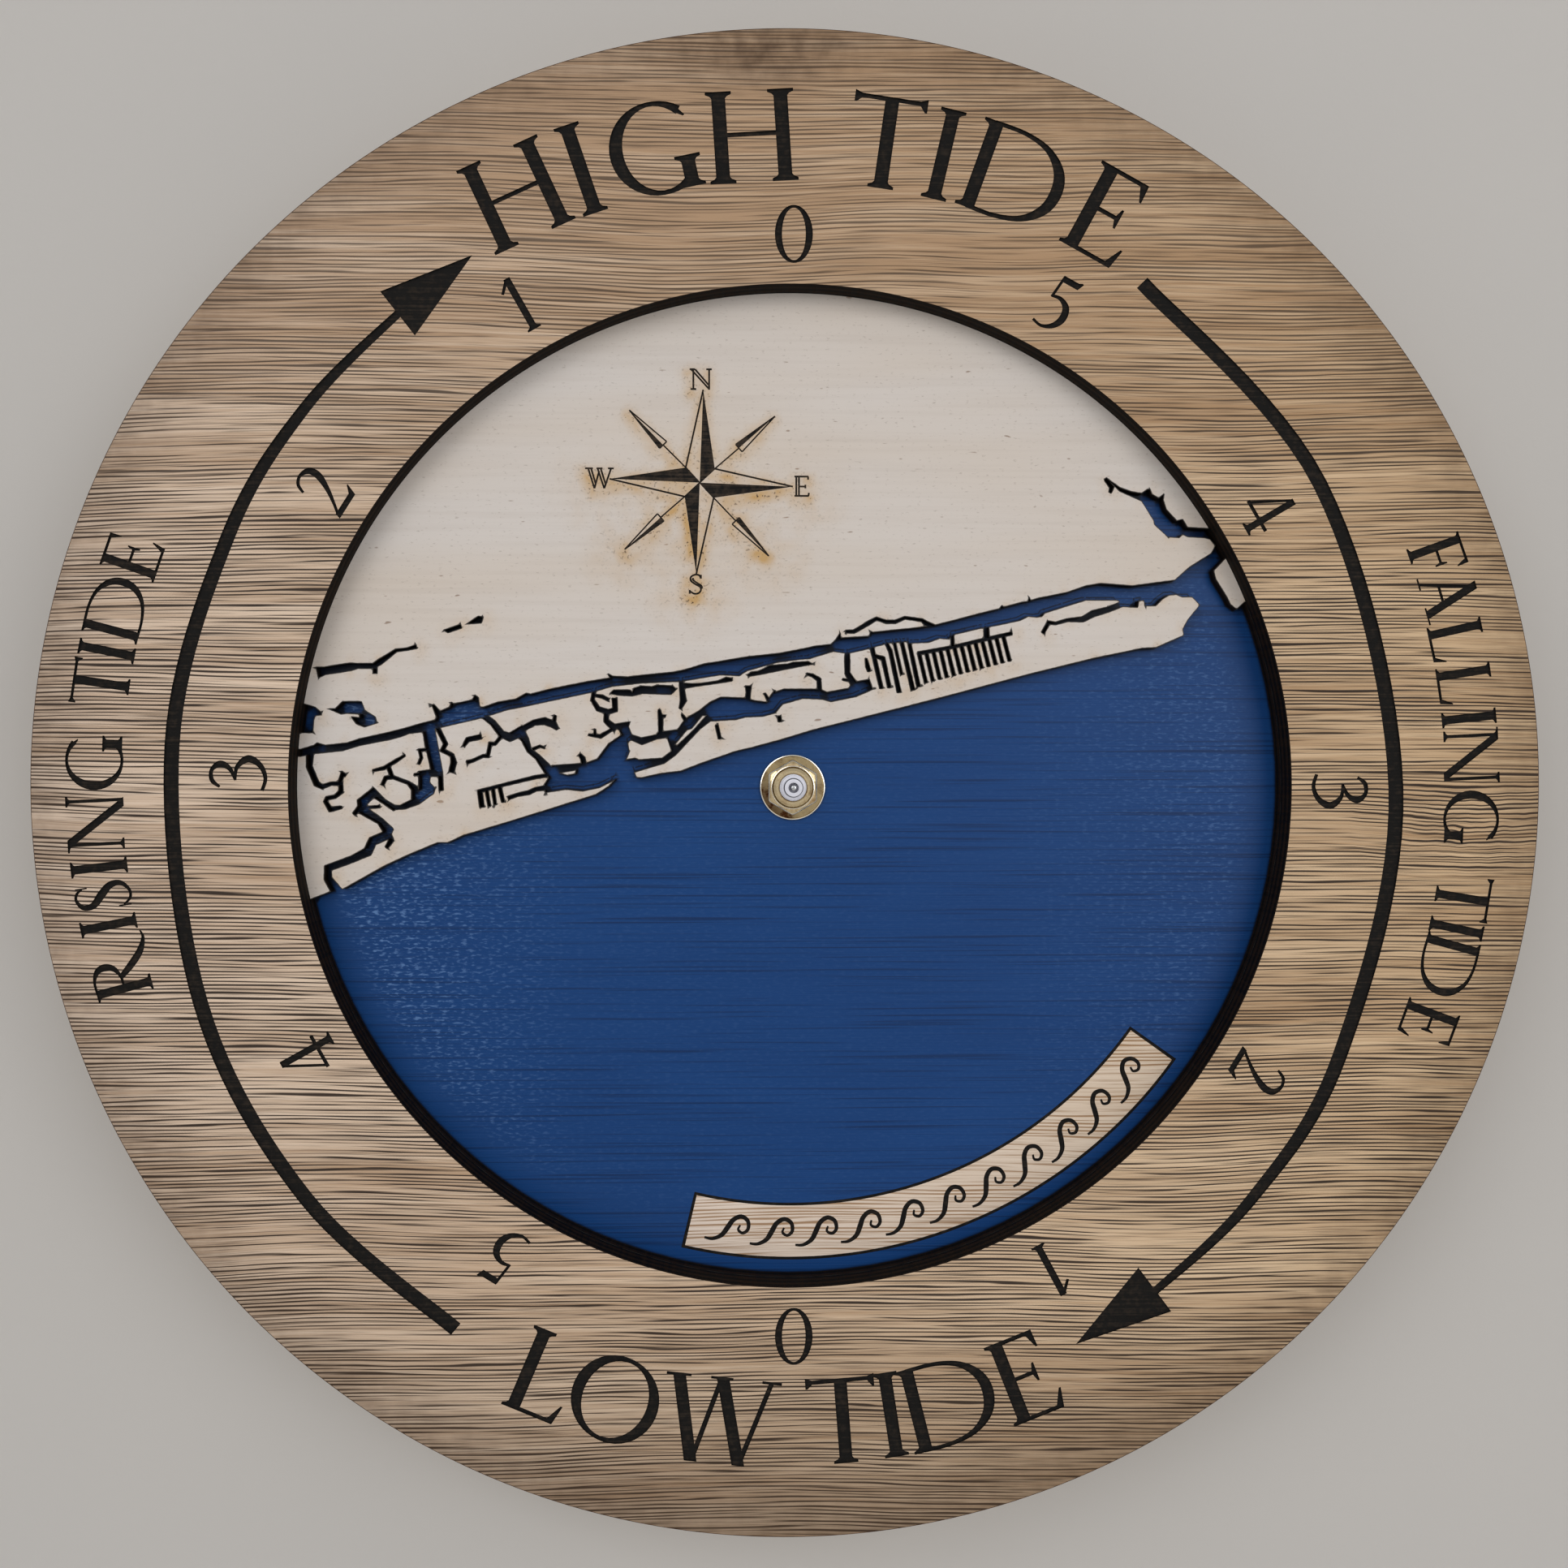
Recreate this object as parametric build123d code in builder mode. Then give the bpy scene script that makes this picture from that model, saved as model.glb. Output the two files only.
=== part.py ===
from build123d import *

import math
import os

# A round wall tide clock: a dial of three glued wooden layers with a cut-out map,
# carried by a quartz movement whose tide tube turns once from high water to high water.
# Heights are counted from the wall towards the front, which faces -Y.

# Dial layers
dial_diameter = 304.8
ring_width = 51.2
ring_thickness = 6.0
land_thickness = 3.0
base_thickness = 6.0

# Clamping of the dial on the movement
gasket_diameter = 20.0
gasket_thickness = 1.0
bush_diameter = 8.0
bush_hole_clearance = 0.2
bush_flange_diameter = 11.0
bush_flange_thickness = 1.0
bush_above_nut = 1.4
bush_chamfer = 0.45
washer_diameter = 13.6
washer_thickness = 0.8
nut_width = 10.0
nut_thickness = 2.2
nut_chamfer = 0.35
thread_clearance = 0.05

# Hand shafts, one inside the other
tide_tube_diameter = 5.5
tide_seat_diameter = 5.0
tide_seat_length = 1.9
tide_tube_above_bush = 2.1
minute_tube_diameter = 3.6
minute_tube_above_tide = 1.5
minute_socket_diameter = 2.1
minute_socket_depth = 2.5
seconds_arbor_diameter = 1.0
seconds_above_minute = 1.0
running_clearance = 0.05

# Wheels and pinions
wheel_thickness = 0.9
pinion_length = 1.5
arbor_diameter = 1.0
motion_arbor_diameter = 2.0
pivot_depth = 0.9
pivot_end_play = 0.1
motion_distance = 10.0
third_distance = 9.8
step_distance = 9.6
rotor_distance = 7.0
motion_direction = 0
third_direction = 180
step_direction = 97
rotor_direction = 90
half_turn = 180
wheel_addendum_share = 0.8
wheel_dedendum_share = 1.15
tooth_root_share = 0.26
tooth_pitch_share = 0.18
tooth_tip_share = 0.075
train_plane_count = 6

# Case and cover
case_wall = 1.4
case_corner = 3.0
cover_thickness = 1.4
bay_wall = 1.2
train_room = 1.8
hanger_thickness = 2.4
hanger_hole_diameter = 5.5
hanger_rim = 3.3
hanger_rise = 5.0

# Setting knob in its well
knob_diameter = 9.0
knob_thickness = 1.6
knob_gap = 0.2
knob_well_gap = 0.6
knob_well_wall = 1.0
knob_well_floor = 0.8
knob_grip_diameter = 0.8
knob_grip_count = 18

# Battery and contacts
battery_diameter = 14.2
battery_length = 50.4
battery_nub_diameter = 5.5
battery_nub_length = 1.2
battery_gap = 0.2
contact_strip = 0.4
contact_width = 7.0
contact_gap = 0.1
contact_foot = 0.4
contact_overlap = 4.0
spring_room = 1.9
spring_rise = 5.0

# Stepping motor
magnet_diameter = 5.0
magnet_length = 2.4
magnet_gap = 0.4
stator_height = 7.0
stator_thickness = 1.0
stator_length = 32.0
stator_depth = 8.0
stator_leg = 4.0
stator_post_diameter = 4.0
stator_post_inset = 4.5
core_width = 3.0
core_thickness = 1.0
bobbin_diameter = 5.4
bobbin_barrel_diameter = 3.8
bobbin_flange = 1.0
bobbin_inset = 0.4
winding_diameter = 5.0
coil_gap = 0.4

# Circuit board
board_thickness = 0.8
board_post_height = 2.6
board_post_diameter = 3.0
board_width = 9.4
board_top_gap = 1.6
chip_diameter = 6.0
chip_thickness = 1.0
chip_taper_angle = 30
crystal_diameter = 2.0
crystal_length = 6.0
crystal_gap = 0.05

# How far a cut reaches past the face that it leaves
overrun = 1.0

# The map, read as pixel places; the opening's width there sets its scale
photo_centre_px = (977, 970)
photo_opening_px = 1212
photo_lean_shares_per_px = (-1.307e-5, -7.65e-6)

sea_px = [
    (250, 1130), (382, 1108), (408, 1098), (423, 1095), (473, 1067), (503, 1053), (539, 1038), (552, 1038),
    (571, 1029), (585, 1025), (660, 1002), (734, 979), (751, 968), (758, 960), (781, 954), (784, 958),
    (791, 958), (814, 953), (839, 950), (865, 940), (885, 933), (905, 926), (930, 920), (960, 912),
    (1003, 899), (1083, 879), (1154, 861), (1271, 830), (1349, 811), (1407, 799), (1425, 798), (1459, 783),
    (1458, 775), (1464, 764), (1479, 745), (1498, 672), (1520, 650), (1513, 684), (1495, 703), (1498, 714),
    (1511, 735), (1516, 745), (1524, 751), (1537, 739), (1560, 735), (1700, 740), (1700, 1750), (250, 1750),
]
channel_north_px = [
    (340, 924), (370, 923), (387, 918), (390, 915), (401, 918), (428, 915), (443, 910), (479, 902),
    (499, 897), (519, 891), (536, 887), (538, 883), (532, 868), (535, 868), (542, 876), (554, 871),
    (556, 865), (559, 867), (582, 862), (585, 856), (589, 859), (591, 871), (596, 871), (613, 865),
    (636, 861), (648, 854), (654, 855), (677, 849), (722, 840), (752, 835), (749, 830), (755, 833),
    (773, 834), (789, 832), (830, 828), (844, 825), (867, 818), (922, 809), (960, 805), (981, 801),
    (1005, 796), (1024, 794), (1030, 788), (1035, 780), (1036, 786), (1071, 784), (1073, 778), (1076, 779),
    (1133, 773), (1153, 770), (1177, 764), (1203, 757), (1232, 750), (1234, 746), (1237, 748), (1260, 742),
    (1267, 741), (1268, 736), (1270, 740), (1280, 737), (1315, 730), (1338, 722), (1356, 719), (1370, 720),
    (1395, 722), (1418, 719), (1448, 715), (1466, 699), (1493, 682), (1498, 672),
]
channel_south_px = [
    (1490, 730), (1479, 745), (1469, 735), (1457, 735), (1449, 732), (1440, 733), (1432, 738), (1424, 746),
    (1411, 746),
    (1410, 739), (1403, 740), (1402, 748), (1384, 747), (1378, 739), (1338, 739), (1287, 755), (1284, 759),
    (1278, 760), (1267, 759), (1257, 764), (1219, 772), (1211, 773), (1177, 781), (1169, 787), (1158, 786),
    (1144, 791), (1122, 792), (1118, 790), (1093, 792), (1087, 794), (1073, 798), (1069, 799), (1048, 804),
    (1040, 804), (1027, 802), (997, 811), (969, 814), (960, 815), (934, 822), (920, 826), (911, 832),
    (887, 831), (862, 835), (845, 838), (836, 839), (790, 841), (754, 845), (737, 850), (730, 852),
    (640, 871), (624, 874), (596, 883), (580, 887), (541, 896), (521, 901), (504, 903), (494, 907),
    (478, 911), (442, 918), (423, 924), (385, 928), (370, 931), (340, 932),
]
sound_px = [
    (758, 960), (738, 970), (718, 974), (696, 972), (672, 976), (671, 966), (676, 958), (672, 950),
    (681, 943), (722, 940), (736, 935), (750, 916), (766, 905), (763, 899), (753, 893), (776, 889),
    (774, 895), (778, 905), (790, 909), (809, 905), (811, 902), (835, 899), (842, 889), (847, 884),
    (861, 876), (875, 865), (888, 859), (895, 859), (918, 860), (929, 863), (945, 865), (954, 853),
    (966, 849), (1001, 849), (1010, 849), (1019, 853), (1046, 848), (1050, 841), (1071, 837), (1075, 849),
    (1054, 858), (1024, 864), (1013, 861), (989, 860), (964, 867), (955, 878), (940, 882), (918, 883),
    (907, 886), (875, 888), (862, 898), (832, 930), (818, 940), (781, 951), (784, 958), (772, 972),
]
lake_px = [
    (1363, 589), (1380, 601), (1394, 606), (1407, 608), (1414, 603), (1417, 603), (1419, 609), (1428, 614),
    (1434, 609), (1433, 616), (1437, 628), (1450, 642), (1457, 640), (1463, 650), (1496, 652), (1520, 645),
    (1520, 665), (1498, 672), (1491, 664), (1484, 662), (1464, 661), (1457, 658), (1453, 662), (1439, 661),
    (1423, 646), (1422, 641), (1407, 617), (1380, 605),
]
ponds_px = [
    [(547, 776), (552, 779), (569, 773), (567, 769)],
    [(576, 768), (589, 759), (595, 760), (593, 767)],
    [(363, 863), (374, 867), (388, 871), (396, 878), (395, 880), (388, 881), (386, 887), (385, 902),
     (363, 902)],
    [(406, 873), (413, 873), (422, 864), (445, 864), (449, 875), (462, 883), (464, 890), (449, 895),
     (439, 891), (433, 883), (443, 884), (443, 879), (428, 878), (420, 879)],
    [(752, 854), (756, 850), (776, 850), (779, 853), (781, 848), (790, 845), (803, 846), (810, 844),
     (829, 845), (833, 849), (827, 855), (791, 854), (779, 857), (762, 856)],
    [(921, 831), (926, 828), (934, 827), (941, 824), (948, 820), (971, 818), (977, 816), (996, 815),
     (1001, 818), (995, 819), (969, 824), (940, 830), (922, 833)],
    [(520, 896), (524, 919), (531, 948), (516, 950), (516, 971), (507, 985), (493, 992), (482, 992),
     (485, 997), (499, 996), (516, 990), (534, 977), (536, 971), (529, 964), (530, 956), (540, 956),
     (541, 974), (546, 973), (545, 951), (535, 896)],
]
# Each creek is a line of places with the water's width there
creeks_px = [
    [(1362, 590, 4), (1370, 600, 5), (1368, 607, 3)],
    [(391, 828, 12.8), (400, 826, 8.7), (419, 823, 9.2), (432, 821, 8.7), (441, 820, 5.6), (460, 820, 5.6),
     (468, 815, 6.6), (488, 801, 3.1), (503, 799, 2.6), (513, 796, 4.6)],
    [(462, 818, 5.1), (462, 829, 4.6)],
    [(526, 923, 2.6), (517, 924, 3.1), (519, 933, 3.1), (516, 941, 2.6)],
    [(519, 953, 3.6), (510, 954, 2)],
    [(538, 894, 5.1), (549, 916, 4.6), (545, 924, 4.1), (557, 930, 4.1), (559, 939, 6.6), (556, 951, 6.1)],
    [(571, 919, 2.6), (576, 911, 5.1), (593, 907, 5.6)],
    [(575, 939, 4.1), (582, 937, 3.1), (595, 931, 3.1), (601, 931, 3.6), (604, 916, 3.6), (610, 916, 3.1),
     (619, 905, 3.6)],
    [(594, 880, 6.1), (607, 890, 6.6), (618, 904, 7.7), (628, 908, 9.2), (641, 901, 11), (647, 911, 8.5),
     (652, 924, 5.5), (662, 932, 6.1), (672, 944, 10), (679, 953, 12)],
    [(642, 899, 6.5), (658, 890, 6), (671, 888, 8), (682, 892, 8), (687, 898, 3)],
    [(682, 892, 4), (684, 881, 3)],
    [(656, 923, 3), (665, 919, 2.4), (671, 921, 1.6)],
    [(382, 926, 8.7), (381, 944, 6.6), (390, 965, 6.6), (397, 969, 4.6), (408, 965, 3.6), (418, 965, 4.1),
     (422, 953, 4.6), (426, 955, 3.1)],
    [(420, 963, 4.1), (420, 975, 5.1), (413, 981, 3.6), (403, 983, 4.1), (401, 987, 4.1), (407, 997, 5.1),
     (421, 994, 3.1)],
    [(459, 949, 2), (473, 946, 3.6), (488, 937, 3.6), (499, 930, 2)],
    [(478, 943, 4.6), (483, 957, 4.1), (475, 958, 4.1), (471, 967, 3.6)],
    [(481, 956, 3.6), (503, 964, 3.6), (511, 971, 7.7), (511, 984, 7.7)],
    [(487, 996, 6.1), (473, 987, 5.1), (460, 976, 9.2), (446, 988, 11.2), (447, 998, 10.2), (468, 1011, 7.7),
     (478, 1022, 11.2), (475, 1029, 10.2), (459, 1036, 10.2), (453, 1049, 10.2), (434, 1058, 7.7),
     (404, 1069, 7.7), (404, 1082, 8.7), (415, 1098, 12.8), (419, 1112, 10.2)],
    [(446, 991, 6.6), (436, 1003, 4.1)],
    [(477, 1024, 6.6), (482, 1035, 5.6), (476, 1044, 3.6)],
    [(449, 995, 2.6), (468, 993, 3)],
    [(589, 975, 3.6), (623, 966, 3.1), (660, 957, 3.6), (674, 955, 3.6)],
    [(591, 974, 5.6), (594, 994, 5.6)],
    [(599, 971, 3.6), (603, 993, 3.1)],
    [(607, 969, 3.6), (610, 991, 3.1)],
    [(615, 967, 4.1), (620, 988, 3.6)],
    [(626, 983, 4.1), (637, 979, 3.6), (652, 976, 4.6), (660, 972, 4.1), (674, 970, 6)],
    [(733, 847, 4.5), (730, 862, 3.7), (737, 873, 5.3), (747, 876, 5.3), (747, 888, 5.3), (759, 898, 8.2)],
    [(757, 860, 6.1), (758, 874, 5.3), (746, 878, 5.3)],
    [(731, 856, 2.4), (742, 858, 3.7), (750, 862, 3.3)],
    [(756, 897, 2.9), (740, 907, 4.1), (725, 905, 2)],
    [(733, 907, 3.3), (733, 898, 1.6)],
    [(714, 929, 2.9), (718, 934, 5.3), (720, 943, 5.7)],
    [(839, 836, 4.5), (841, 855, 6.1), (842, 863, 6.9), (838, 873, 2.4)],
    [(841, 845, 6.9), (854, 844, 3.3), (864, 843, 2.4), (885, 840, 2.4), (895, 837, 5.3), (902, 837, 2.9)],
    [(812, 874, 2.4), (814, 883, 5.3), (814, 904, 4.5)],
    [(814, 882, 2.9), (820, 882, 2.4)],
    [(840, 880, 2), (847, 890, 5.3)],
    [(922, 845, 7.3), (922, 853, 4.9), (921, 864, 6.1)],
    [(942, 854, 1.6), (948, 864, 4.1)],
    [(955, 851, 1.6), (947, 864, 4.1)],
    [(883, 893, 3.3), (887, 910, 3.7)],
    [(960, 882, 4.1), (961, 889, 4.1)],
    [(1042, 778, 2.9), (1052, 778, 3.7), (1061, 773, 4.1), (1071, 767, 4.5), (1080, 762, 3.3), (1092, 766, 3.7),
     (1103, 766, 3.7), (1115, 761, 2.9), (1136, 764, 3.3), (1141, 768, 5.3), (1154, 773, 4.1)],
    [(1044, 800, 4.9), (1044, 813, 6.1), (1044, 829, 5.7), (1053, 844, 8.2)],
    [(1047, 838, 2.9), (1038, 837, 2)],
    [(1067, 811, 2), (1069, 821, 4.5), (1071, 827, 3.7)],
    [(994, 830, 2), (1001, 832, 3.3), (1009, 837, 4.5), (1010, 853, 4.9)],
    [(1074, 796, 4.5), (1086, 848, 4.1)],
    [(1077, 808, 3.5), (1088, 811, 4.5), (1096, 847, 4.1)],
    [(1091, 790, 3.7), (1097, 802, 4.1), (1108, 853, 4.9)],
    [(1101, 788, 2.9), (1111, 831, 2.9)],
    [(1110, 787, 3.7), (1125, 850, 4.9)],
    [(1119, 786, 3.7), (1132, 846, 4.5)],
    [(1131, 805, 3.7), (1174, 797, 3.3), (1247, 780, 3.7)],
    [(1173, 778, 3.7), (1174, 799, 3.7)],
    [(1215, 767, 5.7), (1216, 789, 6.5)],
    [(1386, 743, 6), (1365, 751, 6), (1347, 756, 7.3), (1334, 763, 6), (1315, 764, 3.2), (1301, 768, 2.8),
     (1292, 767, 3.7), (1285, 780, 4.1)],
]
# A comb of boat slips: the first slip's two ends, the step to the next one, width and count
slip_top_px = (1132.2, 804.5)
slip_bottom_px = (1141, 841.2)
slip_top_step_px = (8.61, -1.9)
slip_bottom_step_px = (8.59, -2.24)
slip_width_px = 3.8
slip_count = 13
islets_px = [
    [(773, 915), (777, 911), (791, 917), (809, 910), (822, 908), (828, 925), (816, 934), (787, 936),
     (782, 934), (771, 936), (775, 926)],
    [(831, 917), (846, 899), (852, 897), (865, 881), (871, 881), (856, 898), (834, 919)],
    [(688, 952), (710, 948), (709, 953), (699, 955)],
]
# One place on each loose piece of land, by the piece's name
land_spots_px = {
    "land_layer": (977, 500),
    "barrier_island": (1180, 848),
    "beach_island": (640, 1000),
    "middle_island": (870, 850),
    "west_island": (700, 900),
    "sound_islet": (800, 925),
    "marsh_strip": (850, 900),
    "shoal_islet": (700, 951),
    "canal_islet": (1195, 784),
}

# Opening in the ring, and heights of the layers from the wall
opening_diameter = dial_diameter - 2 * ring_width
inside_front = battery_diameter + 2 * battery_gap
case_depth = inside_front + case_wall
base_back = case_depth + gasket_thickness
base_front = base_back + base_thickness
land_front = base_front + land_thickness
ring_front = land_front + ring_thickness
nut_back = base_front + washer_thickness
bush_front = nut_back + nut_thickness + bush_above_nut
tide_front = bush_front + tide_tube_above_bush
minute_front = tide_front + minute_tube_above_tide
seconds_front = minute_front + seconds_above_minute
flange_back = inside_front - bush_flange_thickness
plane_pitch = (flange_back - cover_thickness) / train_plane_count
pivot_front = inside_front + pivot_depth
pivot_back = cover_thickness - pivot_depth


def front(height):
    """The plane facing the front at a height above the wall, right is +X and up is +Z."""
    return Plane.XZ.offset(height)


def train_height(plane):
    """Middle height of one of the equally spaced wheel planes, counted from the front."""
    return flange_back - (plane + 0.5) * plane_pitch


def turned(start, distance, direction):
    """The place at a distance and direction in degrees from a start."""
    angle = math.radians(direction)
    return (start[0] + distance * math.cos(angle), start[1] + distance * math.sin(angle))


# Places of the arbors, right and up from the shaft
centre = (0, 0)
motion_place = turned(centre, motion_distance, motion_direction)
third_place = turned(centre, third_distance, third_direction)
step_place = turned(centre, step_distance, step_direction)
rotor_place = turned(step_place, rotor_distance, rotor_direction)
motion_return = motion_direction + half_turn
third_return = third_direction + half_turn
step_return = step_direction + half_turn
rotor_return = rotor_direction + half_turn

# Wheel teeth: (wheel, pinion) in each mesh
rotor_teeth_count = (48, 8)
step_teeth_count = (40, 8)
seconds_teeth_count = (64, 8)
third_teeth_count = (60, 8)
cannon_teeth_count = (30, 10)
motion_teeth_count = (32, 8)


def module_of(teeth_count, distance):
    """Tooth module that fits a pair of wheels to the distance between their arbors."""
    return 2 * distance / sum(teeth_count)


def tip_radius(teeth, module):
    """Radius over the tips of a wheel's teeth."""
    return module * (teeth / 2 + wheel_addendum_share)


def wheel_points(place, teeth, module, direction):
    """Outline of a toothed wheel with one tooth pointing in a direction in degrees."""
    pitch = 360 / teeth
    root = module * (teeth / 2 - wheel_dedendum_share)
    middle = module * teeth / 2
    tip = tip_radius(teeth, module)
    flank = [(root, tooth_root_share), (middle, tooth_pitch_share), (tip, tooth_tip_share)]
    points = []
    for tooth in range(teeth):
        heading = direction + tooth * pitch
        points += [turned(place, radius, heading - share * pitch) for radius, share in flank]
        points += [turned(place, radius, heading + share * pitch) for radius, share in reversed(flank)]
    return points


def wheel_towards(place, teeth_count, distance, direction):
    """A wheel whose tooth gap points in a direction, towards its pinion."""
    teeth = teeth_count[0]
    return wheel_points(place, teeth, module_of(teeth_count, distance), direction + half_turn / teeth)


def pinion_towards(place, teeth_count, distance, direction):
    """A pinion whose tooth points in a direction, towards its wheel."""
    return wheel_points(place, teeth_count[1], module_of(teeth_count, distance), direction)


def span(plane, length):
    """Back height of a wheel or pinion of that length in a wheel plane."""
    return train_height(plane) - length / 2


# Movement layout that follows from what the case holds
train_reach = tip_radius(seconds_teeth_count[0], module_of(seconds_teeth_count, third_distance))
bay_wall_top = -(train_reach + train_room)
bay_top = bay_wall_top - bay_wall
battery_height = battery_gap + battery_diameter / 2
battery_level = bay_top - battery_gap - battery_diameter / 2
inside_bottom = battery_level - battery_diameter / 2 - battery_gap
case_bottom = inside_bottom - case_wall
inside_right = (battery_length + 2 * contact_strip + spring_room + contact_gap) / 2
inside_left = -inside_right
case_right = inside_right + case_wall
stator_top = rotor_place[1] + stator_depth / 2
coil_level = stator_top + coil_gap + bobbin_diameter / 2
inside_top = coil_level + bobbin_diameter / 2 + coil_gap
case_top = inside_top + case_wall
case_middle = (case_top + case_bottom) / 2
hanger_level = case_top + hanger_rise
stator_front = stator_height + stator_thickness
magnet_height = stator_height + stator_thickness / 2
coil_height = stator_front + core_thickness / 2
stator_left = rotor_place[0] - stator_length / 2
stator_right = rotor_place[0] + stator_length / 2
board_back = cover_thickness + board_post_height
board_front = board_back + board_thickness
board_right = inside_right - contact_strip
board_left = board_right - board_width
board_bottom = bay_wall_top + contact_strip
board_top = inside_top - board_top_gap
board_middle = (board_left + board_right) / 2
contact_back = battery_height - contact_width / 2
contact_bottom = inside_bottom + case_corner - case_wall + contact_foot
battery_left = inside_left + contact_strip + spring_room
knob_well_depth = knob_gap + knob_thickness + knob_gap
well_radius = knob_diameter / 2 + knob_well_gap

# Dial map
mm_per_px = opening_diameter / photo_opening_px


def dial_point(across_px, down_px):
    """The dial place, right and up from the shaft, of a pixel place."""
    across = across_px - photo_centre_px[0]
    down = down_px - photo_centre_px[1]
    lean = 1 + photo_lean_shares_per_px[0] * across + photo_lean_shares_per_px[1] * down
    return (mm_per_px * across / lean, -mm_per_px * down / lean)


def shore(places_px):
    """A shore line as dial places."""
    return [dial_point(*place) for place in places_px]


def banks(line):
    """Outline of a strip along (right, up, width) places, mitred at its bends."""
    places = [Vector(x, z) for x, z, width in line]
    headings = [(b - a).normalized() for a, b in zip(places, places[1:])]
    left_bank = []
    right_bank = []
    for i, (place, (_, _, width)) in enumerate(zip(places, line)):
        before = headings[max(i - 1, 0)]
        after = headings[min(i, len(headings) - 1)]
        along = (before + after).normalized()
        side = Vector(-along.Y, along.X) * (width / 2 / along.dot(after))
        left_bank.append(tuple(place + side)[:2])
        right_bank.append(tuple(place - side)[:2])
    return left_bank + right_bank[::-1]


def creek(line_px):
    """Outline of a creek given as (right, down, width) pixels."""
    return banks([(*dial_point(u, v), width * mm_per_px) for u, v, width in line_px])


def slip(number):
    """Outline of one boat slip of the comb."""
    ends = []
    for start, stride in ((slip_top_px, slip_top_step_px), (slip_bottom_px, slip_bottom_step_px)):
        ends.append((start[0] + number * stride[0], start[1] + number * stride[1], slip_width_px))
    return creek(ends)


def outline(points):
    """A closed outline as a loose face."""
    return Polygon(*points, align=None, mode=Mode.PRIVATE)


os.makedirs("parts", exist_ok=True)


def finish(piece, name):
    """Label a finished piece and write it."""
    piece.part.label = name
    export_step(piece.part, f"parts/{name}.step")


# Base disc, painted on its front for the water
with BuildPart() as base_disc:
    with BuildSketch(front(base_back)):
        Circle(dial_diameter / 2)
        Circle(bush_diameter / 2 + bush_hole_clearance, mode=Mode.SUBTRACT)
    extrude(amount=base_thickness)
finish(base_disc, "base_disc")

# Land, cut through where there is water, with its loose islands
water_outlines = [sea_px, channel_north_px + channel_south_px, sound_px, lake_px] + ponds_px
with BuildSketch(front(base_front)) as water:
    add([outline(shore(places)) for places in water_outlines])
    add([outline(creek(line)) for line in creeks_px])
    add([outline(slip(number)) for number in range(slip_count)])
    add([outline(shore(places)) for places in islets_px], mode=Mode.SUBTRACT)
    Circle(opening_diameter / 2, mode=Mode.INTERSECT)

with BuildPart() as land_sheet:
    with BuildSketch(front(base_front)):
        Circle(dial_diameter / 2)
    extrude(amount=land_thickness)
    extrude(water.sketch, amount=land_thickness, mode=Mode.SUBTRACT)

for land_name, spot_px in land_spots_px.items():
    spot_right, spot_up = dial_point(*spot_px)
    spot = Vector(spot_right, -(base_front + land_thickness / 2), spot_up)
    with BuildPart() as land_piece:
        add(land_sheet.solids().filter_by(lambda solid: solid.is_inside(spot)))
    finish(land_piece, land_name)

# Tide ring with the engraved scale
with BuildPart() as tide_ring:
    with BuildSketch(front(land_front)):
        Circle(dial_diameter / 2)
        Circle(opening_diameter / 2, mode=Mode.SUBTRACT)
    extrude(amount=ring_thickness)
finish(tide_ring, "tide_ring")

# Movement case: front wall, side walls, bay wall, motor posts and hanger
inner_width = inside_right - inside_left
inner_height = inside_top - inside_bottom
inner_middle = (inside_top + inside_bottom) / 2
post_places = [
    (stator_left + stator_post_inset, rotor_place[1]),
    (stator_right - stator_post_inset, rotor_place[1]),
]
with BuildPart() as movement_case:
    with BuildSketch(front(0)):
        with Locations((0, case_middle)):
            RectangleRounded(2 * case_right, case_top - case_bottom, case_corner)
    extrude(amount=case_depth)
    with BuildSketch(front(0)):
        with Locations((0, inner_middle)):
            RectangleRounded(inner_width, inner_height, case_corner - case_wall)
    extrude(amount=inside_front, mode=Mode.SUBTRACT)
    with BuildSketch(front(0)):
        with Locations((0, bay_top)):
            Rectangle(2 * (case_right + overrun), case_top + overrun - bay_top, align=(Align.CENTER, Align.MIN))
    extrude(amount=cover_thickness, mode=Mode.SUBTRACT)
    with BuildSketch(front(cover_thickness)):
        with Locations((0, bay_top)):
            bay_wall_width = inner_width - 2 * (contact_strip + contact_gap)
            Rectangle(bay_wall_width, bay_wall, align=(Align.CENTER, Align.MIN))
    extrude(amount=inside_front - cover_thickness)
    with BuildSketch(front(stator_front)):
        with Locations(*post_places):
            Circle(stator_post_diameter / 2)
    extrude(amount=inside_front - stator_front)
    with BuildSketch(front(cover_thickness)):
        with Locations((0, hanger_level)):
            Circle(hanger_hole_diameter / 2 + hanger_rim)
        with Locations((0, inside_top)):
            hanger_width = hanger_hole_diameter + 2 * hanger_rim
            Rectangle(hanger_width, hanger_level - inside_top, align=(Align.CENTER, Align.MIN))
    extrude(amount=hanger_thickness)
    with BuildSketch(front(cover_thickness)):
        with Locations((0, hanger_level)):
            Circle(hanger_hole_diameter / 2)
    extrude(amount=hanger_thickness, mode=Mode.SUBTRACT)
    with BuildSketch(front(inside_front)):
        Circle(bush_diameter / 2)
    extrude(amount=case_wall, mode=Mode.SUBTRACT)
    with BuildSketch(front(inside_front)):
        with Locations(third_place, step_place, rotor_place):
            Circle(arbor_diameter / 2 + running_clearance)
        with Locations(motion_place):
            Circle(motion_arbor_diameter / 2 + running_clearance)
    extrude(amount=pivot_depth, mode=Mode.SUBTRACT)
finish(movement_case, "movement_case")

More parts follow.
